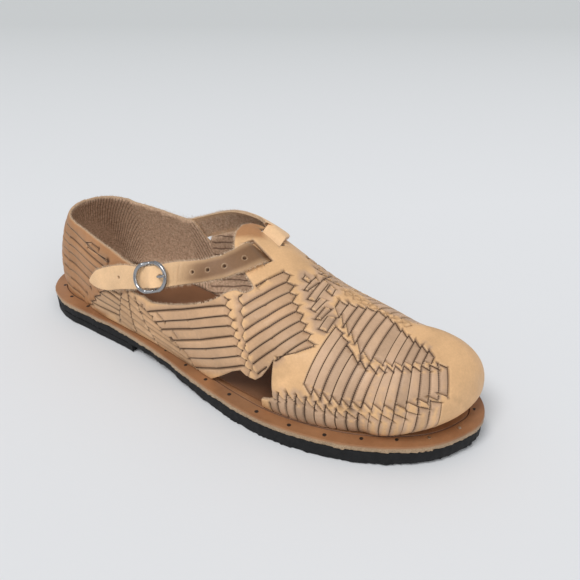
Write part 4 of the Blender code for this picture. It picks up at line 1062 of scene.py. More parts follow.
def lining_fibres(key, count, low, high, side):
    """Fibres that stand off the rough inner side within a box of the chart."""
    rows = []
    for index in range(count):
        here = (low[0] + (high[0] - low[0]) * chance(key, index, 4),
                side * (low[1] + (high[1] - low[1]) * chance(key, index, 5)))
        angle = 2 * pi * chance(key, index, 6)
        rows.append(fibre(key, index, here, -WALL / MM - 0.05, (cos(angle), sin(angle)), -0.9))
    return rows


def make_fibres(name, rows, material):
    """Object of fibres, one thin blade each."""
    flat = [place for corners, _ in rows for place in corners]
    levels = [level * MM for _, heights in rows for level in heights]
    points, _ = on_last(flat, levels)
    faces = [(3 * i, 3 * i + 1, 3 * i + 2) for i in range(len(rows))]
    return make_object(name, points, faces, material)


# Strap

# Centre line of the strap on the chart: X, Y, level of its under face in millimetres, half width share
STRAP_PATH = (
    (61.5, -74.6, 0.5, 0.10), (66, -72.8, 0.45, 0.55), (71, -70.6, 0.45, 0.85), (78, -68.0, 0.45, 0.97),
    (88, -63.8, 0.45, 0.96), (97, -60.6, 0.45, 0.94), (105, -58.3, 0.45, 0.86), (112.1, -55.5, 0.8, 0.78),
    (114.9, -54.4, 1.7, 0.78), (116.7, -53.7, 2.5, 0.78), (119.1, -52.7, 2.5, 0.78), (121.1, -51.8, 1.7, 0.78),
    (123.7, -50.5, 0.8, 0.79), (127.5, -48.6, 0.1, 0.84), (133.5, -45.4, -0.3, 0.84),
    (141, -41.9, -0.4, 0.80), (150, -37.3, 0.1, 0.78), (158.6, -31.2, 0.6, 0.84), (163.8, -24.0, 0.6, 0.94),
    (166.1, -18.4, 0.6, 1.0), (167.0, -16.0, 0.6, 1.0), (167.2, -15.1, 0.45, 1.0), (167.9, -8.9, -4.75, 1.0),
    (167.8, -7.4, -4.9, 1.0), (166.8, -3.0, -4.9, 1.0), (165.6, 2.2, -4.9, 1.0), (165.1, 3.8, -4.75, 1.0),
    (163.7, 10.0, 0.6, 1.0), (163.4, 10.9, 0.95, 1.0), (161.6, 14.6, 1.5, 1.0), (157.6, 19.2, 1.7, 1.0),
    (151.4, 23.6, 1.6, 1.0), (143, 27.8, 1.2, 1.0), (132, 32.8, 0.8, 1.0), (120, 39.2, 0.6, 1.0),
    (108, 46.0, 0.5, 1.0), (97, 52.0, 0.45, 1.0), (88, 56.4, 0.45, 1.0), (80, 59.8, 0.45, 1.0),
    (74, 62.2, 0.45, 0.9), (70.5, 63.6, 0.5, 0.6),
)
# Girth on either side up to which the strap lies square to the slots
SQUARE_OUT = 16.5
SQUARE_IN = 11.5
SQUARE_RUN = 3.5
STRAP_STEP = 0.55
STRAP_COLUMNS = 30
HOLES = ((90.0, -63.0), (123.3, -50.7), (142.8, -41.1), (151.3, -36.5), (159.0, -30.9), (165.4, -21.8))
HOLE_HALF = 0.95
SLATLESS_X = 65.0


def strap_rows():
    """Fine rows along the strap: chart place, level, half width and the direction across."""
    path = np.array(STRAP_PATH)
    run = np.r_[0, np.cumsum(np.hypot(*np.diff(path[:, :2], axis=0).T))]
    marks = np.linspace(0, run[-1], int(run[-1] / STRAP_STEP))
    fine = np.stack([np.interp(marks, run, path[:, i]) for i in range(4)], axis=1)
    reach = 2
    kernel = np.ones(2 * reach + 1) / (2 * reach + 1)
    padded = np.r_[np.repeat(fine[:1], reach, 0), fine, np.repeat(fine[-1:], reach, 0)]
    soft = np.stack([np.convolve(padded[:, i], kernel, "valid") for i in range(4)], axis=1)
    soft[:3, 3] = fine[:3, 3]
    ahead = np.gradient(soft[:, :2], axis=0)
    ahead /= np.linalg.norm(ahead, axis=1, keepdims=True)
    across = np.c_[-ahead[:, 1], ahead[:, 0]]
    outer = np.array(SLOT_OUT[0]) - np.array(SLOT_OUT[1])
    inner = np.array(SLOT_IN[0]) - np.array(SLOT_IN[1])
    for i, (x, y, _, _) in enumerate(soft):
        square = SQUARE_OUT if y < 0 else SQUARE_IN
        blend = 1 - ramp(abs(y), square, square + SQUARE_RUN)
        share = ramp(y, -7, 3)
        slot = outer / np.linalg.norm(outer) * (1 - share) + inner / np.linalg.norm(inner) * share
        turned = across[i] * (1 - blend) + slot * blend
        across[i] = turned / np.linalg.norm(turned)
    return soft, across


def make_strap(material):
    """Strap with soft edges, punched holes and the wrinkle before the buckle."""
    rows, across = strap_rows()
    section_line = [(-0.985, 0.03), (-1.0, 0.3), (-1.0, 0.72), (-0.985, 0.9)]
    section_line += [(-0.96 + 1.92 * i / STRAP_COLUMNS, 1.0) for i in range(STRAP_COLUMNS + 1)]
    section_line += [(0.985, 0.9), (1.0, 0.72), (1.0, 0.3), (0.985, 0.03), (0.6, 0), (0.2, 0), (-0.2, 0), (-0.6, 0)]
    flat, levels, marks = [], [], []
    for i, ((x, y, level, share), side) in enumerate(zip(rows, across)):
        for u, h in section_line:
            px, py = x + side[0] * STRAP_HALF * share * u, y + side[1] * STRAP_HALF * share * u
            top = 1.0 if h >= 0.9 else 0.0
            raised = level + STRAP / MM * h
            raised += 0.10 * top * (1 - u * u)
            crease = hypot((px - 134.0) / 1.6, (py + 45.2) / 6)
            raised += top * 0.35 * sin(px * 1.9 + py * 0.5) * (1 - ramp(crease, 0.4, 1.6))
            hole = min(hypot(px - hx, (py - hy) * 1.15) for hx, hy in HOLES)
            if y > -20:
                hole = 9
            raised -= top * 1.3 * (1 - ramp(hole, 0.75 * HOLE_HALF, 1.15 * HOLE_HALF))
            flat.append((px, py))
            levels.append(raised * MM)
            worn = 1 - abs((h - 0.5) * 2) if abs(u) > 0.98 else 0.0
            under = 1.0 if h < 0.02 else 0.0
            marks.append((px, py, u, h, hole, worn, under))
    points, _ = on_last(flat, levels)
    size = len(section_line)
    faces = []
    for i in range(len(rows) - 1):
        for k in range(size):
            a, b = i * size + k, i * size + (k + 1) % size
            faces.append((a, b, b + size, a + size))
    faces.append(tuple(range(size))[::-1])
    last = (len(rows) - 1) * size
    faces.append(tuple(range(last, last + size)))
    made = make_object("strap_leather", points, faces, material, 0.9)
    marks = np.array(marks)
    # Painted shade inside the punched holes
    dark = 1 - ramps(marks[:, 4], 0.55 * HOLE_HALF, 1.1 * HOLE_HALF)
    browner = ramps(marks[:, 0], 124, 150) * (marks[:, 1] < -8) * (1 - 0.35 * ramps(np.abs(marks[:, 2]), 0.5, 1))
    tint = np.array((0.86, 0.56, 0.31)) * (1 - browner[:, None]) + np.array((0.22, 0.115, 0.055)) * browner[:, None]
    set_colors(made.data, "tint", tint)
    set_attribute(made.data, "tone", np.zeros(len(marks)))
    set_attribute(made.data, "recess_shade", dark)
    set_attribute(made.data, "light", 1 - ramps(np.abs(marks[:, 4] - 1.35), 0.1, 0.4))
    set_attribute(made.data, "shade", np.zeros(len(marks)))
    set_attribute(made.data, "raw", np.clip(marks[:, 5] + (np.abs(marks[:, 2]) > 0.98) * 0.7, 0, 1))
    set_attribute(made.data, "inner", marks[:, 6])
    layer = made.data.attributes.new("chart", "FLOAT_VECTOR", "POINT")
    # One place on the chart where the lining has no slats
    plain = np.tile((SLATLESS_X, 0, 0), (len(marks), 1))
    layer.data.foreach_set("vector", plain.astype(np.float32).ravel())
    return made


def strap_fibres():
    """Fibres along both cut edges of the strap and on the rough under face of its inner half."""
    rows, across = strap_rows()
    found = []
    for index in range(2600):
        k = int(chance(61, index) * (len(rows) - 1))
        x, y, level, share = rows[k]
        edge = 1 if chance(62, index) < 0.65 else -1
        reach = STRAP_HALF * share * edge * 0.985
        here = (x + across[k][0] * reach, y + across[k][1] * reach)
        way = (across[k][0] * edge, across[k][1] * edge)
        found.append(fibre(63, index, here, level + STRAP / MM * (0.1 + 0.8 * chance(64, index)), way, 0.5))
    for index in range(2600):
        k = int((0.58 + 0.41 * chance(65, index)) * (len(rows) - 1))
        x, y, level, share = rows[k]
        reach = STRAP_HALF * share * (2 * chance(66, index) - 1) * 0.95
        here = (x + across[k][0] * reach, y + across[k][1] * reach)
        angle = 2 * pi * chance(67, index)
        found.append(fibre(68, index, here, level, (cos(angle), sin(angle)), -0.8))
    return found


# Buckle

BUCKLE_AT = (117.9, -53.25)
BUCKLE_TO = (127.9, -48.55)
BUCKLE_LONG = 11.5 * MM
BUCKLE_HIGH = 8.15 * MM
BAR_LEVEL = 1.15 * MM
ARC_LEVEL = 4.5 * MM
WIRE = 1.15 * MM
PRONG = 0.85 * MM


def tube(name, path, radius, closed, material, sides=14):
    """Round wire along a path of vectors, with domed ends when it is open."""
    count = len(path)
    points, faces = [], []
    side = None
    for i, here in enumerate(path):
        before = path[i - 1] if closed or i else path[0]
        after = path[(i + 1) % count] if closed or i < count - 1 else path[-1]
        ahead = (after - before).normalized()
        if side is None:
            side = ahead.orthogonal().normalized()
        side = (side - ahead * side.dot(ahead)).normalized()
        up = ahead.cross(side)
        r = radius
        if not closed and i in (0, count - 1):
            r = radius * 0.55
        for k in range(sides):
            angle = 2 * pi * k / sides
            points.append(here + side * (r * cos(angle)) + up * (r * sin(angle)))
    rings = count if closed else count - 1
    for i in range(rings):
        for k in range(sides):
            a, b = i * sides + k, i * sides + (k + 1) % sides
            c, d = ((i + 1) % count) * sides + (k + 1) % sides, ((i + 1) % count) * sides + k
            faces.append((a, b, c, d))
    if not closed:
        faces.append(tuple(range(sides))[::-1])
        faces.append(tuple(range((count - 1) * sides, count * sides)))
    return make_object(name, points, faces, material)


def buckle_axes():
    """Origin and axes at the buckle's centre bar: along the strap, across it, outward."""
    origin = place(*BUCKLE_AT)
    along = (place(*BUCKLE_TO) - origin).normalized()
    outward = (place(*BUCKLE_AT, 0.001) - origin).normalized()
    return origin, along, outward.cross(along).normalized(), outward


def make_buckle(material):
    """Oval wire frame with its bar, and the prong."""
    origin, along, across, outward = buckle_axes()
    loop = []
    for i in range(120):
        angle = 2 * pi * i / 120
        u, v = cos(angle), sin(angle)
        reach = BUCKLE_LONG * abs(u) ** 0.8 * (1 if u > 0 else -1)
        waist = 1 - 0.07 * (1 - abs(u)) ** 3
        rise = BAR_LEVEL + (ARC_LEVEL - BAR_LEVEL) * ramp(abs(u), 0.06, 0.42)
        loop.append(origin + along * reach + across * (BUCKLE_HIGH * v * waist) + outward * rise)
    made = [tube("buckle_wire", loop, WIRE, True, material)]
    half = BUCKLE_HIGH * 0.93
    ends = [origin + across * (half * t) + outward * BAR_LEVEL for t in (-1, -0.5, 0, 0.5, 1)]
    made.append(tube("buckle_bar", ends, WIRE * 0.93, False, material))
    path = ((1.55, 0.1), (2.35, 0.75), (4.4, 0.3), (5.4, 0.45), (5.95, 1.6), (6.1, 3.6), (6.7, 5.2),
            (8.6, 6.35), (11.8, 6.75), (13.2, 6.6))
    table_a = [(i, a) for i, (a, b) in enumerate(path)]
    table_b = [(i, b) for i, (a, b) in enumerate(path)]
    prong = []
    for i in range(37):
        t = i / 36 * (len(path) - 1)
        prong.append(origin + along * (smooth(table_a, t) * MM) + outward * (smooth(table_b, t) * MM))
    made.append(tube("prong_wire", prong, PRONG, False, material, 12))
    return made


# Sole

NAILS = ((121.6, -39.1), (139.8, -42.5), (157.2, -45.6), (175.8, -48), (196, -50.7), (215.5, -49.5), (234, -45.3),
         (250.6, -37.2), (265.6, -28.1), (278.2, -17.8), (288.1, -2.7), (289.6, 15.7), (281, 30), (266, 39),
         (247, 46), (226, 48.4), (204, 45.5), (182, 38), (160, 31), (138, 28.5), (104, -36.5), (86, -34.8),
         (67, -34.2), (49, -33.6), (31, -31.5), (15.5, -24), (6.5, -9), (7, 7), (17, 21), (34, 28.5),
         (54, 31), (75, 31), (96, 29.5), (117, 28.6))
BRIGHT_NAILS = (9, 10)
GROOVE_INSET = 8.0 * MM


def layer_side(name, line, heights, insets, rough, material, seed):
    """Closed slab from outline rows: each row has its own height function, inset and roughness."""
    count = len(line)
    tangent = np.roll(line, -1, axis=0) - np.roll(line, 1, axis=0)
    tangent /= np.linalg.norm(tangent, axis=1, keepdims=True)
    normal = np.c_[-tangent[:, 1], tangent[:, 0]]
    points, faces = [], []
    for row, (height, inset) in enumerate(zip(heights, insets)):
        for i, (x, y) in enumerate(line):
            wobble = rough[row] * (chance(seed, row, i) - 0.5 + 1.2 * (chance(seed, 77, i // 5) - 0.5))
            px, py = (x, y) + normal[i] * (inset + wobble)
            points.append((px, py, height(x) + 0.5 * wobble))
    for row in range(len(heights) - 1):
        for i in range(count):
            a, b = row * count + i, row * count + (i + 1) % count
            faces.append((b, a, a + count, b + count))
    return points, faces


def cap(points, ring, height, faces, flip, step=7 * MM, lines=()):
    """Adds a face over the ring of points, with inner points at the height function."""
    loop = [(points[i][0] / MM, points[i][1] / MM) for i in ring]
    grid = [(x, y) for x, y in grid_points([loop], step / MM)]
    near = Nearest([loop + [loop[0]]] + [list(line) for line in lines])
    grid = [p for p in grid if near.find(*p)[0] > step / MM * 0.45]
    flat, triangles = triangulate([loop], [list(line) for line in lines], grid)
    lookup = {(round(points[i][0] / MM, 2), round(points[i][1] / MM, 2)): i for i in ring}
    index = []
    for x, y in flat:
        known = lookup.get((round(x, 2), round(y, 2)))
        if known is None:
            known = len(points)
            points.append((x * MM, y * MM, height(x * MM, y * MM)))
        index.append(known)
    for a, b, c in triangles:
        face = (index[a], index[b], index[c])
        faces.append(face[::-1] if flip else face)


def shifted(points):
    """Points moved into the part's frame."""
    return np.array(points) + SHIFT


def make_leather_sole(material):
    """Leather sole: smooth top with its groove, rough cut edge."""
    line = sole_line(0, 620)
    heights = [leather_top, leather_top, lambda x: leather_top(x) - 0.5 * MM,
               lambda x: leather_top(x) - 1.6 * MM, lambda x: leather_top(x) - 2.8 * MM,
               lambda x: leather_bottom(x) + 0.4 * MM, leather_bottom]
    insets = [0.7 * MM, 0.25 * MM, 0.0, -0.1 * MM, 0.0, 0.15 * MM, 0.5 * MM]
    rough = [0, 0.05 * MM, 0.1 * MM, 0.35 * MM, 0.5 * MM, 0.6 * MM, 0.3 * MM]
    points, faces = layer_side("sole", line, heights, insets, rough, material, 21)
    count = len(line)
    groove = sole_line(GROOVE_INSET, 330) / MM
    lines = []
    for offset in (-0.45, 0.0, 0.45):
        ring = sole_line(GROOVE_INSET + offset * MM, 330) / MM
        lines.append([tuple(p) for p in ring] + [tuple(ring[0])])
    groove_near = Nearest([lines[1]])

    def top(x, y):
        return leather_top(x) - 0.5 * MM * (1 - ramp(groove_near.find(x / MM, y / MM)[0], 0.05, 0.4))

    cap(points, list(range(count)), top, faces, False, lines=lines)
    last = count * (len(heights) - 1)
    cap(points, list(range(last, last + count)), lambda x, y: leather_bottom(x), faces, True)
    made = make_object("sole_leather", shifted(points), faces, material, 0.7)
    rows = np.array(points)
    top_height = np.array([leather_top(x) for x in rows[:, 0]])
    drop = (top_height - rows[:, 2]) / MM
    side = np.zeros(len(points))
    side[:count * len(heights)] = 1
    raw = side * ramps(drop, 0.9, 1.8)
    set_attribute(made.data, "raw", raw)
    near = np.array([groove_near.find(x / MM, y / MM)[0] for x, y in rows[:, :2]])
    # Painted shade in the groove on the sole's top
    set_attribute(made.data, "recess_shade", (1 - ramps(near, 0.1, 0.45)) * (1 - side))
    return made


def make_rubber(material):
    """Black rubber: outsole with a cut edge, and the heel lift with its rounded breast."""
    line = sole_line(0.6 * MM, 520)
    top = lambda x: leather_bottom(x) - FIT
    heights = [top, lambda x: top(x) - 0.3 * MM, lambda x: top(x) * 0.5 + rubber_bottom(x) * 0.5,
               lambda x: rubber_bottom(x) + 0.5 * MM, rubber_bottom]
    insets = [0.4 * MM, 0.0, -0.15 * MM, 0.1 * MM, 0.7 * MM]
    rough = [0.1 * MM, 0.15 * MM, 0.35 * MM, 0.5 * MM, 0.0]
    points, faces = layer_side("rubber", line, heights, insets, rough, material, 31)
    count = len(line)
    cap(points, list(range(count)), lambda x, y: top(x), faces, False, 9 * MM)
    last = count * (len(heights) - 1)
    cap(points, list(range(last, last + count)), lambda x, y: rubber_bottom(x), faces, True, 9 * MM)
    outsole = make_object("sole_rubber", shifted(points), faces, material, 0.6)
    breast = BREAST * UNIT
    ring = [tuple(p) for p in sole_line(0.6 * MM, 420)]
    heel = []
    for (ax, ay), (bx, by) in zip(ring, ring[1:] + ring[:1]):
        if ax < breast:
            heel.append((ax, ay))
        if (ax < breast) != (bx < breast):
            heel.append((breast, ay + (by - ay) * (breast - ax) / (bx - ax)))
    cut = [i for i, (x, y) in enumerate(heel) if abs(x - breast) < 1e-9]
    start = cut[0]
    a, b = heel[cut[0]], heel[(cut[0] + 1) % len(heel)]
    across = [(breast, a[1] + (b[1] - a[1]) * i / 40) for i in range(1, 40)]
    heel = heel[:start + 1] + across + heel[start + 1:]
    lift_top = rubber_bottom(0) - FIT
    heights = [lambda x: lift_top, lambda x: lift_top - 0.4 * MM, lambda x: lift_top * 0.5,
               lambda x: 0.8 * MM, lambda x: 0.0]
    insets = [0.4 * MM, 0.05 * MM, 0.0, 0.1 * MM, 0.8 * MM]
    rough = [0.0, 0.1 * MM, 0.2 * MM, 0.2 * MM, 0.0]
    points, faces = layer_side("heel", np.array(heel), heights, insets, rough, material, 41)
    count = len(heel)
    cap(points, list(range(count)), lambda x, y: lift_top, faces, False, 9 * MM)
    last = count * (len(heights) - 1)
    cap(points, list(range(last, last + count)), lambda x, y: 0.0, faces, True, 9 * MM)
    lift = make_object("heel_rubber", shifted(points), faces, material, 0.6)
    return outsole, lift


def make_nails(bright, dark):
    """Nail heads sunk in the leather sole's margin."""
    made = []
    for shiny in (True, False):
        points, faces = [], []
        for index, (x, y) in enumerate(NAILS):
            if (index in BRIGHT_NAILS) != shiny:
                continue
            z = leather_top(x * MM)
            rows = ((0.0, 0.02), (0.75, 0.03), (0.95, -0.05)) if shiny else ((0.0, 0.03), (0.7, 0.03), (1.15, 0.01))
            start = len(points)
            points.append((x * MM, y * MM, z + (rows[0][1] + 0.12 * shiny) * MM))
            for r, h in rows[1:]:
                for k in range(14):
                    angle = 2 * pi * k / 14
                    points.append(((x + r * cos(angle)) * MM, (y + r * sin(angle)) * MM, z + (h + 0.1 * shiny) * MM))
            for k in range(14):
                a, b = start + 1 + k, start + 1 + (k + 1) % 14
                faces.append((start, a, b))
                faces.append((a, a + 14, b + 14, b))
        name = "nails_bright" if shiny else "nails_dark"
        made.append(make_object(name, shifted(points), faces, bright if shiny else dark))
    return made


# Materials

def nodes_of(name):
    """New material with its node tree, shader and a helper that adds nodes."""
    made = bpy.data.materials.new(name)
    made.use_nodes = True
    tree = made.node_tree
    shader = tree.nodes["Principled BSDF"]

    def add(kind, **settings):
        node = tree.nodes.new(kind)
        for key, value in settings.items():
            if hasattr(node, key):
                setattr(node, key, value)
            else:
                node.inputs[key.replace("_", " ").title()].default_value = value
        return node

    return made, tree, shader, add


def join(tree, a, b):
    """Links one socket to another."""
    tree.links.new(a, b)


def blend_node(add, tree, mode, factor, first, second):
    """Colour mix node; factor, first and second are sockets or values."""
    node = add("ShaderNodeMix", data_type="RGBA", blend_type=mode)
    for index, value in ((0, factor), (6, first), (7, second)):
        if isinstance(value, bpy.types.NodeSocket):
            join(tree, value, node.inputs[index])
        elif index == 0:
            node.inputs[0].default_value = value
        else:
            node.inputs[index].default_value = (*value, 1)
    return node.outputs[2]


def maths(add, tree, operation, first, second=0.0):
    """Number node; first and second are sockets or values."""
    node = add("ShaderNodeMath", operation=operation)
    for index, value in ((0, first), (1, second)):
        if isinstance(value, bpy.types.NodeSocket):
            join(tree, value, node.inputs[index])
        else:
            node.inputs[index].default_value = value
    return node.outputs[0]


def noise(add, tree, vector, scale, detail=4.0, rough=0.6):
    """Noise factor on a vector socket."""
    node = add("ShaderNodeTexNoise")
    node.inputs["Scale"].default_value = scale
    node.inputs["Detail"].default_value = detail
    node.inputs["Roughness"].default_value = rough
    join(tree, vector, node.inputs["Vector"])
    return node.outputs["Fac"]


def spread(add, tree, socket, low, high, to_low=0.0, to_high=1.0):
    """Maps a range of values to another one."""
    node = add("ShaderNodeMapRange")
    join(tree, socket, node.inputs["Value"])
    for key, value in (("From Min", low), ("From Max", high), ("To Min", to_low), ("To Max", to_high)):
        node.inputs[key].default_value = value
    return node.outputs["Result"]


# Slats of the inner side: phase by chart X and girth, and the stretch of X that has them
SLATS = ((0.7, 1.7, -20, -10, 26, 44), (2.3, -1.3, 82, 86, 98, 100), (0.44, 1.3, 99, 101, 400, 401))


def lining_slats(add, tree, wobble):
    """Gaps between the slats that show on the inner side, for their grooves and their painted shade."""
    chart_place = add("ShaderNodeAttribute")
    chart_place.attribute_name = "chart"
    parts = add("ShaderNodeSeparateXYZ")
    join(tree, chart_place.outputs["Vector"], parts.inputs[0])
    girth = maths(add, tree, "ABSOLUTE", parts.outputs["Y"])
    shaken = maths(add, tree, "MULTIPLY", wobble, 5.0)
    total = 0.0
    for by_x, by_girth, start, full, fading, end in SLATS:
        phase = maths(add, tree, "ADD", maths(add, tree, "MULTIPLY", parts.outputs["X"], by_x),
                      maths(add, tree, "MULTIPLY", girth, by_girth))
        wave = maths(add, tree, "SINE", maths(add, tree, "ADD", phase, shaken))
        gap = spread(add, tree, wave, 0.45, 1.0)
        shown = maths(add, tree, "MULTIPLY", spread(add, tree, parts.outputs["X"], start, full),
                      spread(add, tree, parts.outputs["X"], fading, end, 1.0, 0.0))
        total = maths(add, tree, "ADD", maths(add, tree, "MULTIPLY", gap, shown), total)
    return total


def leather_material():
    """Leather of upper and strap: tinted strips, painted shade in the seams, the holes and where strips dive under,
    light cut edges, rough inner side.
    """
    made, tree, shader, add = nodes_of("leather")
    spot = add("ShaderNodeTexCoord").outputs["Object"]

    def value(name):
        node = add("ShaderNodeAttribute")
        node.attribute_name = name
        return node.outputs["Fac"]

    tint = add("ShaderNodeAttribute")
    tint.attribute_name = "tint"
    patches = spread(add, tree, noise(add, tree, spot, 45, 5, 0.6), 0.3, 0.7, 0.86, 1.12)
    grain = noise(add, tree, spot, 900, 4, 0.65)
    fine = spread(add, tree, grain, 0.3, 0.7, 0.94, 1.06)
    tones = spread(add, tree, value("tone"), -1, 1, 0.88, 1.12)
    bright = maths(add, tree, "MULTIPLY", maths(add, tree, "MULTIPLY", patches, fine), tones)
    grey = add("ShaderNodeCombineColor")
    for i in range(3):
        join(tree, bright, grey.inputs[i])
    base = blend_node(add, tree, "MULTIPLY", 1.0, tint.outputs["Color"], grey.outputs[0])
    base = blend_node(add, tree, "MIX", maths(add, tree, "MULTIPLY", value("light"), 0.35), base, (0.78, 0.56, 0.36))
    base = blend_node(add, tree, "MIX", maths(add, tree, "MULTIPLY", value("shade"), 0.35), base, (0.20, 0.10, 0.05))
    fibre = spread(add, tree, noise(add, tree, spot, 1600, 6, 0.8), 0.35, 0.65, 0.0, 1.0)
    raw = blend_node(add, tree, "MIX", fibre, (0.42, 0.25, 0.13), (0.72, 0.52, 0.34))
    base = blend_node(add, tree, "MIX", value("raw"), base, raw)
    suede_noise = spread(add, tree, noise(add, tree, spot, 700, 8, 0.75), 0.32, 0.68, 0.0, 1.0)
    suede = blend_node(add, tree, "MIX", suede_noise, (0.34, 0.200, 0.125), (0.86, 0.610, 0.420))
    slat = lining_slats(add, tree, noise(add, tree, spot, 90, 3, 0.5))
    # Painted shade in the gaps between the slats of the inner side
    suede = blend_node(add, tree, "MIX", maths(add, tree, "MULTIPLY", slat, 0.7), suede, (0.09, 0.045, 0.028))
    base = blend_node(add, tree, "MIX", value("inner"), base, suede)
    # Painted shade in the gaps of the seams and in the strap's holes
    base = blend_node(add, tree, "MIX", value("recess_shade"), base, PAINTED_RECESS_SHADE)
    join(tree, base, shader.inputs["Base Color"])
    rough = spread(add, tree, noise(add, tree, spot, 120, 3, 0.5), 0.3, 0.7, 0.42, 0.60)
    rough = maths(add, tree, "MAXIMUM", rough, maths(add, tree, "MULTIPLY", value("inner"), 0.95))
    join(tree, rough, shader.inputs["Roughness"])
    shader.inputs["Specular IOR Level"].default_value = 0.35
    creases = add("ShaderNodeTexVoronoi")
    creases.inputs["Scale"].default_value = 750
    join(tree, spot, creases.inputs["Vector"])
    bump = add("ShaderNodeBump")
    bump.inputs["Strength"].default_value = 0.22
    bump.inputs["Distance"].default_value = 0.0003
    height = maths(add, tree, "ADD", maths(add, tree, "MULTIPLY", creases.outputs["Distance"], 0.35), grain)
    height = maths(add, tree, "ADD", height, maths(add, tree, "MULTIPLY", value("inner"),
                                                     maths(add, tree, "SUBTRACT",
                                                           maths(add, tree, "MULTIPLY", suede_noise, 4.0),
                                                           maths(add, tree, "MULTIPLY", slat, 7.0))))
    join(tree, height, bump.inputs["Height"])
    join(tree, bump.outputs["Normal"], shader.inputs["Normal"])
    return made


def sole_material():
    """Stained leather sole with a light raw edge and painted shade in its groove."""
    made, tree, shader, add = nodes_of("sole_leather")
    spot = add("ShaderNodeTexCoord").outputs["Object"]

    def value(name):
        node = add("ShaderNodeAttribute")
        node.attribute_name = name
        return node.outputs["Fac"]

    stain = spread(add, tree, noise(add, tree, spot, 35, 5, 0.6), 0.35, 0.65)
    base = blend_node(add, tree, "MIX", stain, (0.27, 0.120, 0.052), (0.39, 0.190, 0.088))
    fibre = spread(add, tree, noise(add, tree, spot, 1500, 6, 0.8), 0.35, 0.65)
    raw = blend_node(add, tree, "MIX", fibre, (0.28, 0.17, 0.09), (0.62, 0.46, 0.30))
    base = blend_node(add, tree, "MIX", value("raw"), base, raw)
    # Painted shade in the groove
    base = blend_node(add, tree, "MIX", value("recess_shade"), base, (0.06, 0.02, 0.01))
    join(tree, base, shader.inputs["Base Color"])
    shader.inputs["Roughness"].default_value = 0.45
    shader.inputs["Specular IOR Level"].default_value = 0.35
    bump = add("ShaderNodeBump")
    bump.inputs["Strength"].default_value = 0.35
    bump.inputs["Distance"].default_value = 0.0003
    join(tree, maths(add, tree, "ADD", noise(add, tree, spot, 700, 4, 0.6),
                     maths(add, tree, "MULTIPLY", fibre, maths(add, tree, "MULTIPLY", value("raw"), 2.0))),
         bump.inputs["Height"])
    join(tree, bump.outputs["Normal"], shader.inputs["Normal"])
    return made


def rubber_material():
    """Matt black rubber."""
    made, tree, shader, add = nodes_of("rubber_cut")
    spot = add("ShaderNodeTexCoord").outputs["Object"]
    worn = spread(add, tree, noise(add, tree, spot, 260, 5, 0.7), 0.35, 0.75)
    join(tree, blend_node(add, tree, "MIX", worn, (0.0055, 0.0055, 0.006), (0.014, 0.014, 0.015)),
         shader.inputs["Base Color"])
    shader.inputs["Roughness"].default_value = 0.72
    shader.inputs["Specular IOR Level"].default_value = 0.3
    bump = add("ShaderNodeBump")
    bump.inputs["Strength"].default_value = 0.5
    bump.inputs["Distance"].default_value = 0.0005
    join(tree, noise(add, tree, spot, 420, 5, 0.7), bump.inputs["Height"])
    join(tree, bump.outputs["Normal"], shader.inputs["Normal"])
    return made


def insole_material():
    """Smooth dark brown insole."""
    made, tree, shader, add = nodes_of("insole_leather")
    spot = add("ShaderNodeTexCoord").outputs["Object"]
    stain = spread(add, tree, noise(add, tree, spot, 28, 4, 0.6), 0.3, 0.7)
    join(tree, blend_node(add, tree, "MIX", stain, (0.16, 0.070, 0.032), (0.24, 0.11, 0.052)),
         shader.inputs["Base Color"])
    shader.inputs["Roughness"].default_value = 0.5
    bump = add("ShaderNodeBump")
    bump.inputs["Strength"].default_value = 0.15
    bump.inputs["Distance"].default_value = 0.0003
    join(tree, noise(add, tree, spot, 600, 4, 0.6), bump.inputs["Height"])
    join(tree, bump.outputs["Normal"], shader.inputs["Normal"])
    return made


def metal_material():
    """Bright plated wire with fine scratches."""
    made, tree, shader, add = nodes_of("plated_wire")
    spot = add("ShaderNodeTexCoord").outputs["Object"]
    dull = spread(add, tree, noise(add, tree, spot, 500, 4, 0.6), 0.3, 0.7, 0.16, 0.32)
    join(tree, dull, shader.inputs["Roughness"])
    shader.inputs["Base Color"].default_value = (0.36, 0.36, 0.37, 1)
    shader.inputs["Metallic"].default_value = 1.0
    return made


def plain_material(name, color, roughness, metallic=0.0):
    """One-colour material with a little mottling."""
    made, tree, shader, add = nodes_of(name)
    spot = add("ShaderNodeTexCoord").outputs["Object"]
    dark = tuple(c * 0.7 for c in color)
    join(tree, blend_node(add, tree, "MIX", noise(add, tree, spot, 400), dark, color), shader.inputs["Base Color"])
    shader.inputs["Roughness"].default_value = roughness
    shader.inputs["Metallic"].default_value = metallic
    return made


# Pieces

leather = leather_material()
metal = metal_material()
rubber = rubber_material()

upper = make_upper(leather)
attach(upper, "root")
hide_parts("upper")

strap = make_strap(leather)
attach(strap, "root")
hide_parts("ankle_strap")

fibre_tan = plain_material("raw_fibre", (0.84, 0.65, 0.46), 0.9)
collar = collar_loop()
loops = [feather_loop(), collar]
hairs = make_fibres("upper_fibres", edge_fibres(collar, loops, 51, 3200)
                    + lining_fibres(52, 3000, (2, 44), (99, 92), 1), fibre_tan)
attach(hairs, "root")
hairs = make_fibres("strap_fibres", strap_fibres(), fibre_tan)
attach(hairs, "root")

wire, bar, prong = make_buckle(metal)
for piece in (wire, bar, prong):
    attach(piece, "root")
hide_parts("buckle_frame")
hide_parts("buckle_prong")

sole = make_leather_sole(sole_material())
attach(sole, "root")
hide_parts("leather_sole")

outsole, lift = make_rubber(rubber)
for piece, node in ((outsole, "outsole"), (lift, "heel_lift")):
    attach(piece, "root")
    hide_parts(node)

nail_bright = plain_material("nail_steel", (0.75, 0.74, 0.70), 0.3, 1.0)
nail_dark = plain_material("nail_hole", (0.030, 0.018, 0.012), 0.6)
for piece in make_nails(nail_bright, nail_dark):
    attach(piece, "root")

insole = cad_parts["insole"]
insole.data.materials.clear()
insole.data.materials.append(insole_material())


# Camera, floor and light

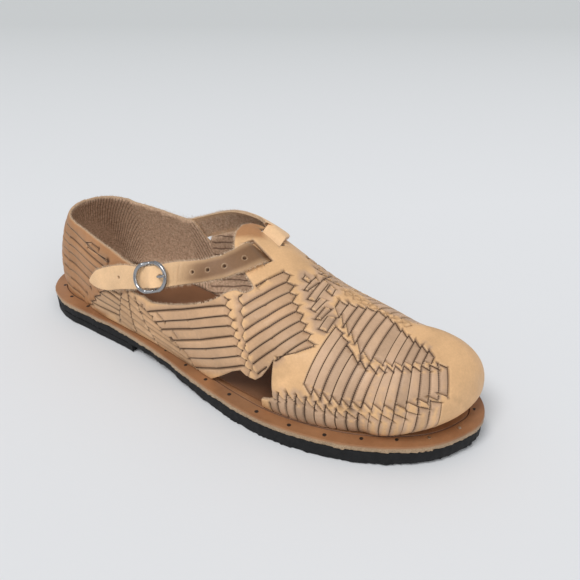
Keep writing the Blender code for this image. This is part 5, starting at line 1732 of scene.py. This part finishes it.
AZIMUTH, ELEVATION, ROLL = radians(32.776), radians(30.018), radians(1.842)
CAMERA_AT = Vector((349.33, -260.41, 235.66)) * MM + Vector(SHIFT)
FOCUS = 1.114
# Colours of the floor near and far: the darkening away is painted light falloff
FLOOR_LIT_NEAR = (0.780, 0.788, 0.800)
FLOOR_SHADED_FAR = (0.600, 0.615, 0.615)


def make_camera():
    """Camera at the photograph's place and angle."""
    data = bpy.data.cameras.new("camera")
    data.sensor_width = 36
    data.lens = FOCUS * 36
    data.clip_start = 0.01
    data.clip_end = 50
    back = Vector((sin(AZIMUTH) * cos(ELEVATION), -cos(AZIMUTH) * cos(ELEVATION), sin(ELEVATION)))
    right = Vector((cos(AZIMUTH), sin(AZIMUTH), 0))
    up = back.cross(right)
    turned = right * cos(ROLL) + up * sin(ROLL)
    upright = up * cos(ROLL) - right * sin(ROLL)
    made = bpy.data.objects.new("camera", data)
    bpy.context.scene.collection.objects.link(made)
    matrix = Matrix((turned, upright, back)).transposed().to_4x4()
    matrix.translation = CAMERA_AT
    made.matrix_world = matrix
    bpy.context.scene.camera = made


def make_sun(name, at, strength, angle, color=(1, 1, 1)):
    """Wide distant light that shines from a direction towards the shoe."""
    data = bpy.data.lights.new(name, "SUN")
    data.energy = strength
    data.angle = radians(angle)
    data.color = color
    made = bpy.data.objects.new(name, data)
    bpy.context.scene.collection.objects.link(made)
    made.location = at
    made.rotation_mode = "QUATERNION"
    made.rotation_quaternion = Vector(at).to_track_quat("Z", "Y")


def make_floor():
    """White floor that the shoe stands on."""
    data = bpy.data.meshes.new("floor")
    half = 12.0
    data.from_pydata([(-half, -half, 0), (half, -half, 0), (half, half, 0), (-half, half, 0)], [], [(0, 1, 2, 3)])
    made = bpy.data.objects.new("floor", data)
    bpy.context.scene.collection.objects.link(made)
    paper, tree, shader, add = nodes_of("paper")
    # Painted light falloff: the backdrop's colour darkens away from the camera, most to the left.
    across = add("ShaderNodeSeparateXYZ")
    join(tree, add("ShaderNodeTexCoord").outputs["Object"], across.inputs[0])
    away = maths(add, tree, "MULTIPLY", across.outputs["Y"], cos(AZIMUTH))
    away = maths(add, tree, "SUBTRACT", away, maths(add, tree, "MULTIPLY", across.outputs["X"], sin(AZIMUTH) * 1.5))
    painted_falloff = spread(add, tree, away, 0.25, 1.6)
    join(tree, blend_node(add, tree, "MIX", painted_falloff, FLOOR_LIT_NEAR, FLOOR_SHADED_FAR), shader.inputs["Base Color"])
    shader.inputs["Roughness"].default_value = 0.9
    shader.inputs["Specular IOR Level"].default_value = 0.1
    data.materials.append(paper)


make_camera()
make_floor()
make_sun("key", (-0.15, -0.75, 1.15), 1.45, 24)
make_sun("front", (1.0, -0.55, 0.9), 0.45, 40)

world = bpy.data.worlds.new("studio")
world.use_nodes = True
world.node_tree.nodes["Background"].inputs["Color"].default_value = (0.95, 0.97, 1.0, 1)
world.node_tree.nodes["Background"].inputs["Strength"].default_value = 0.52
bpy.context.scene.world = world
bpy.context.scene.view_settings.view_transform = "Standard"
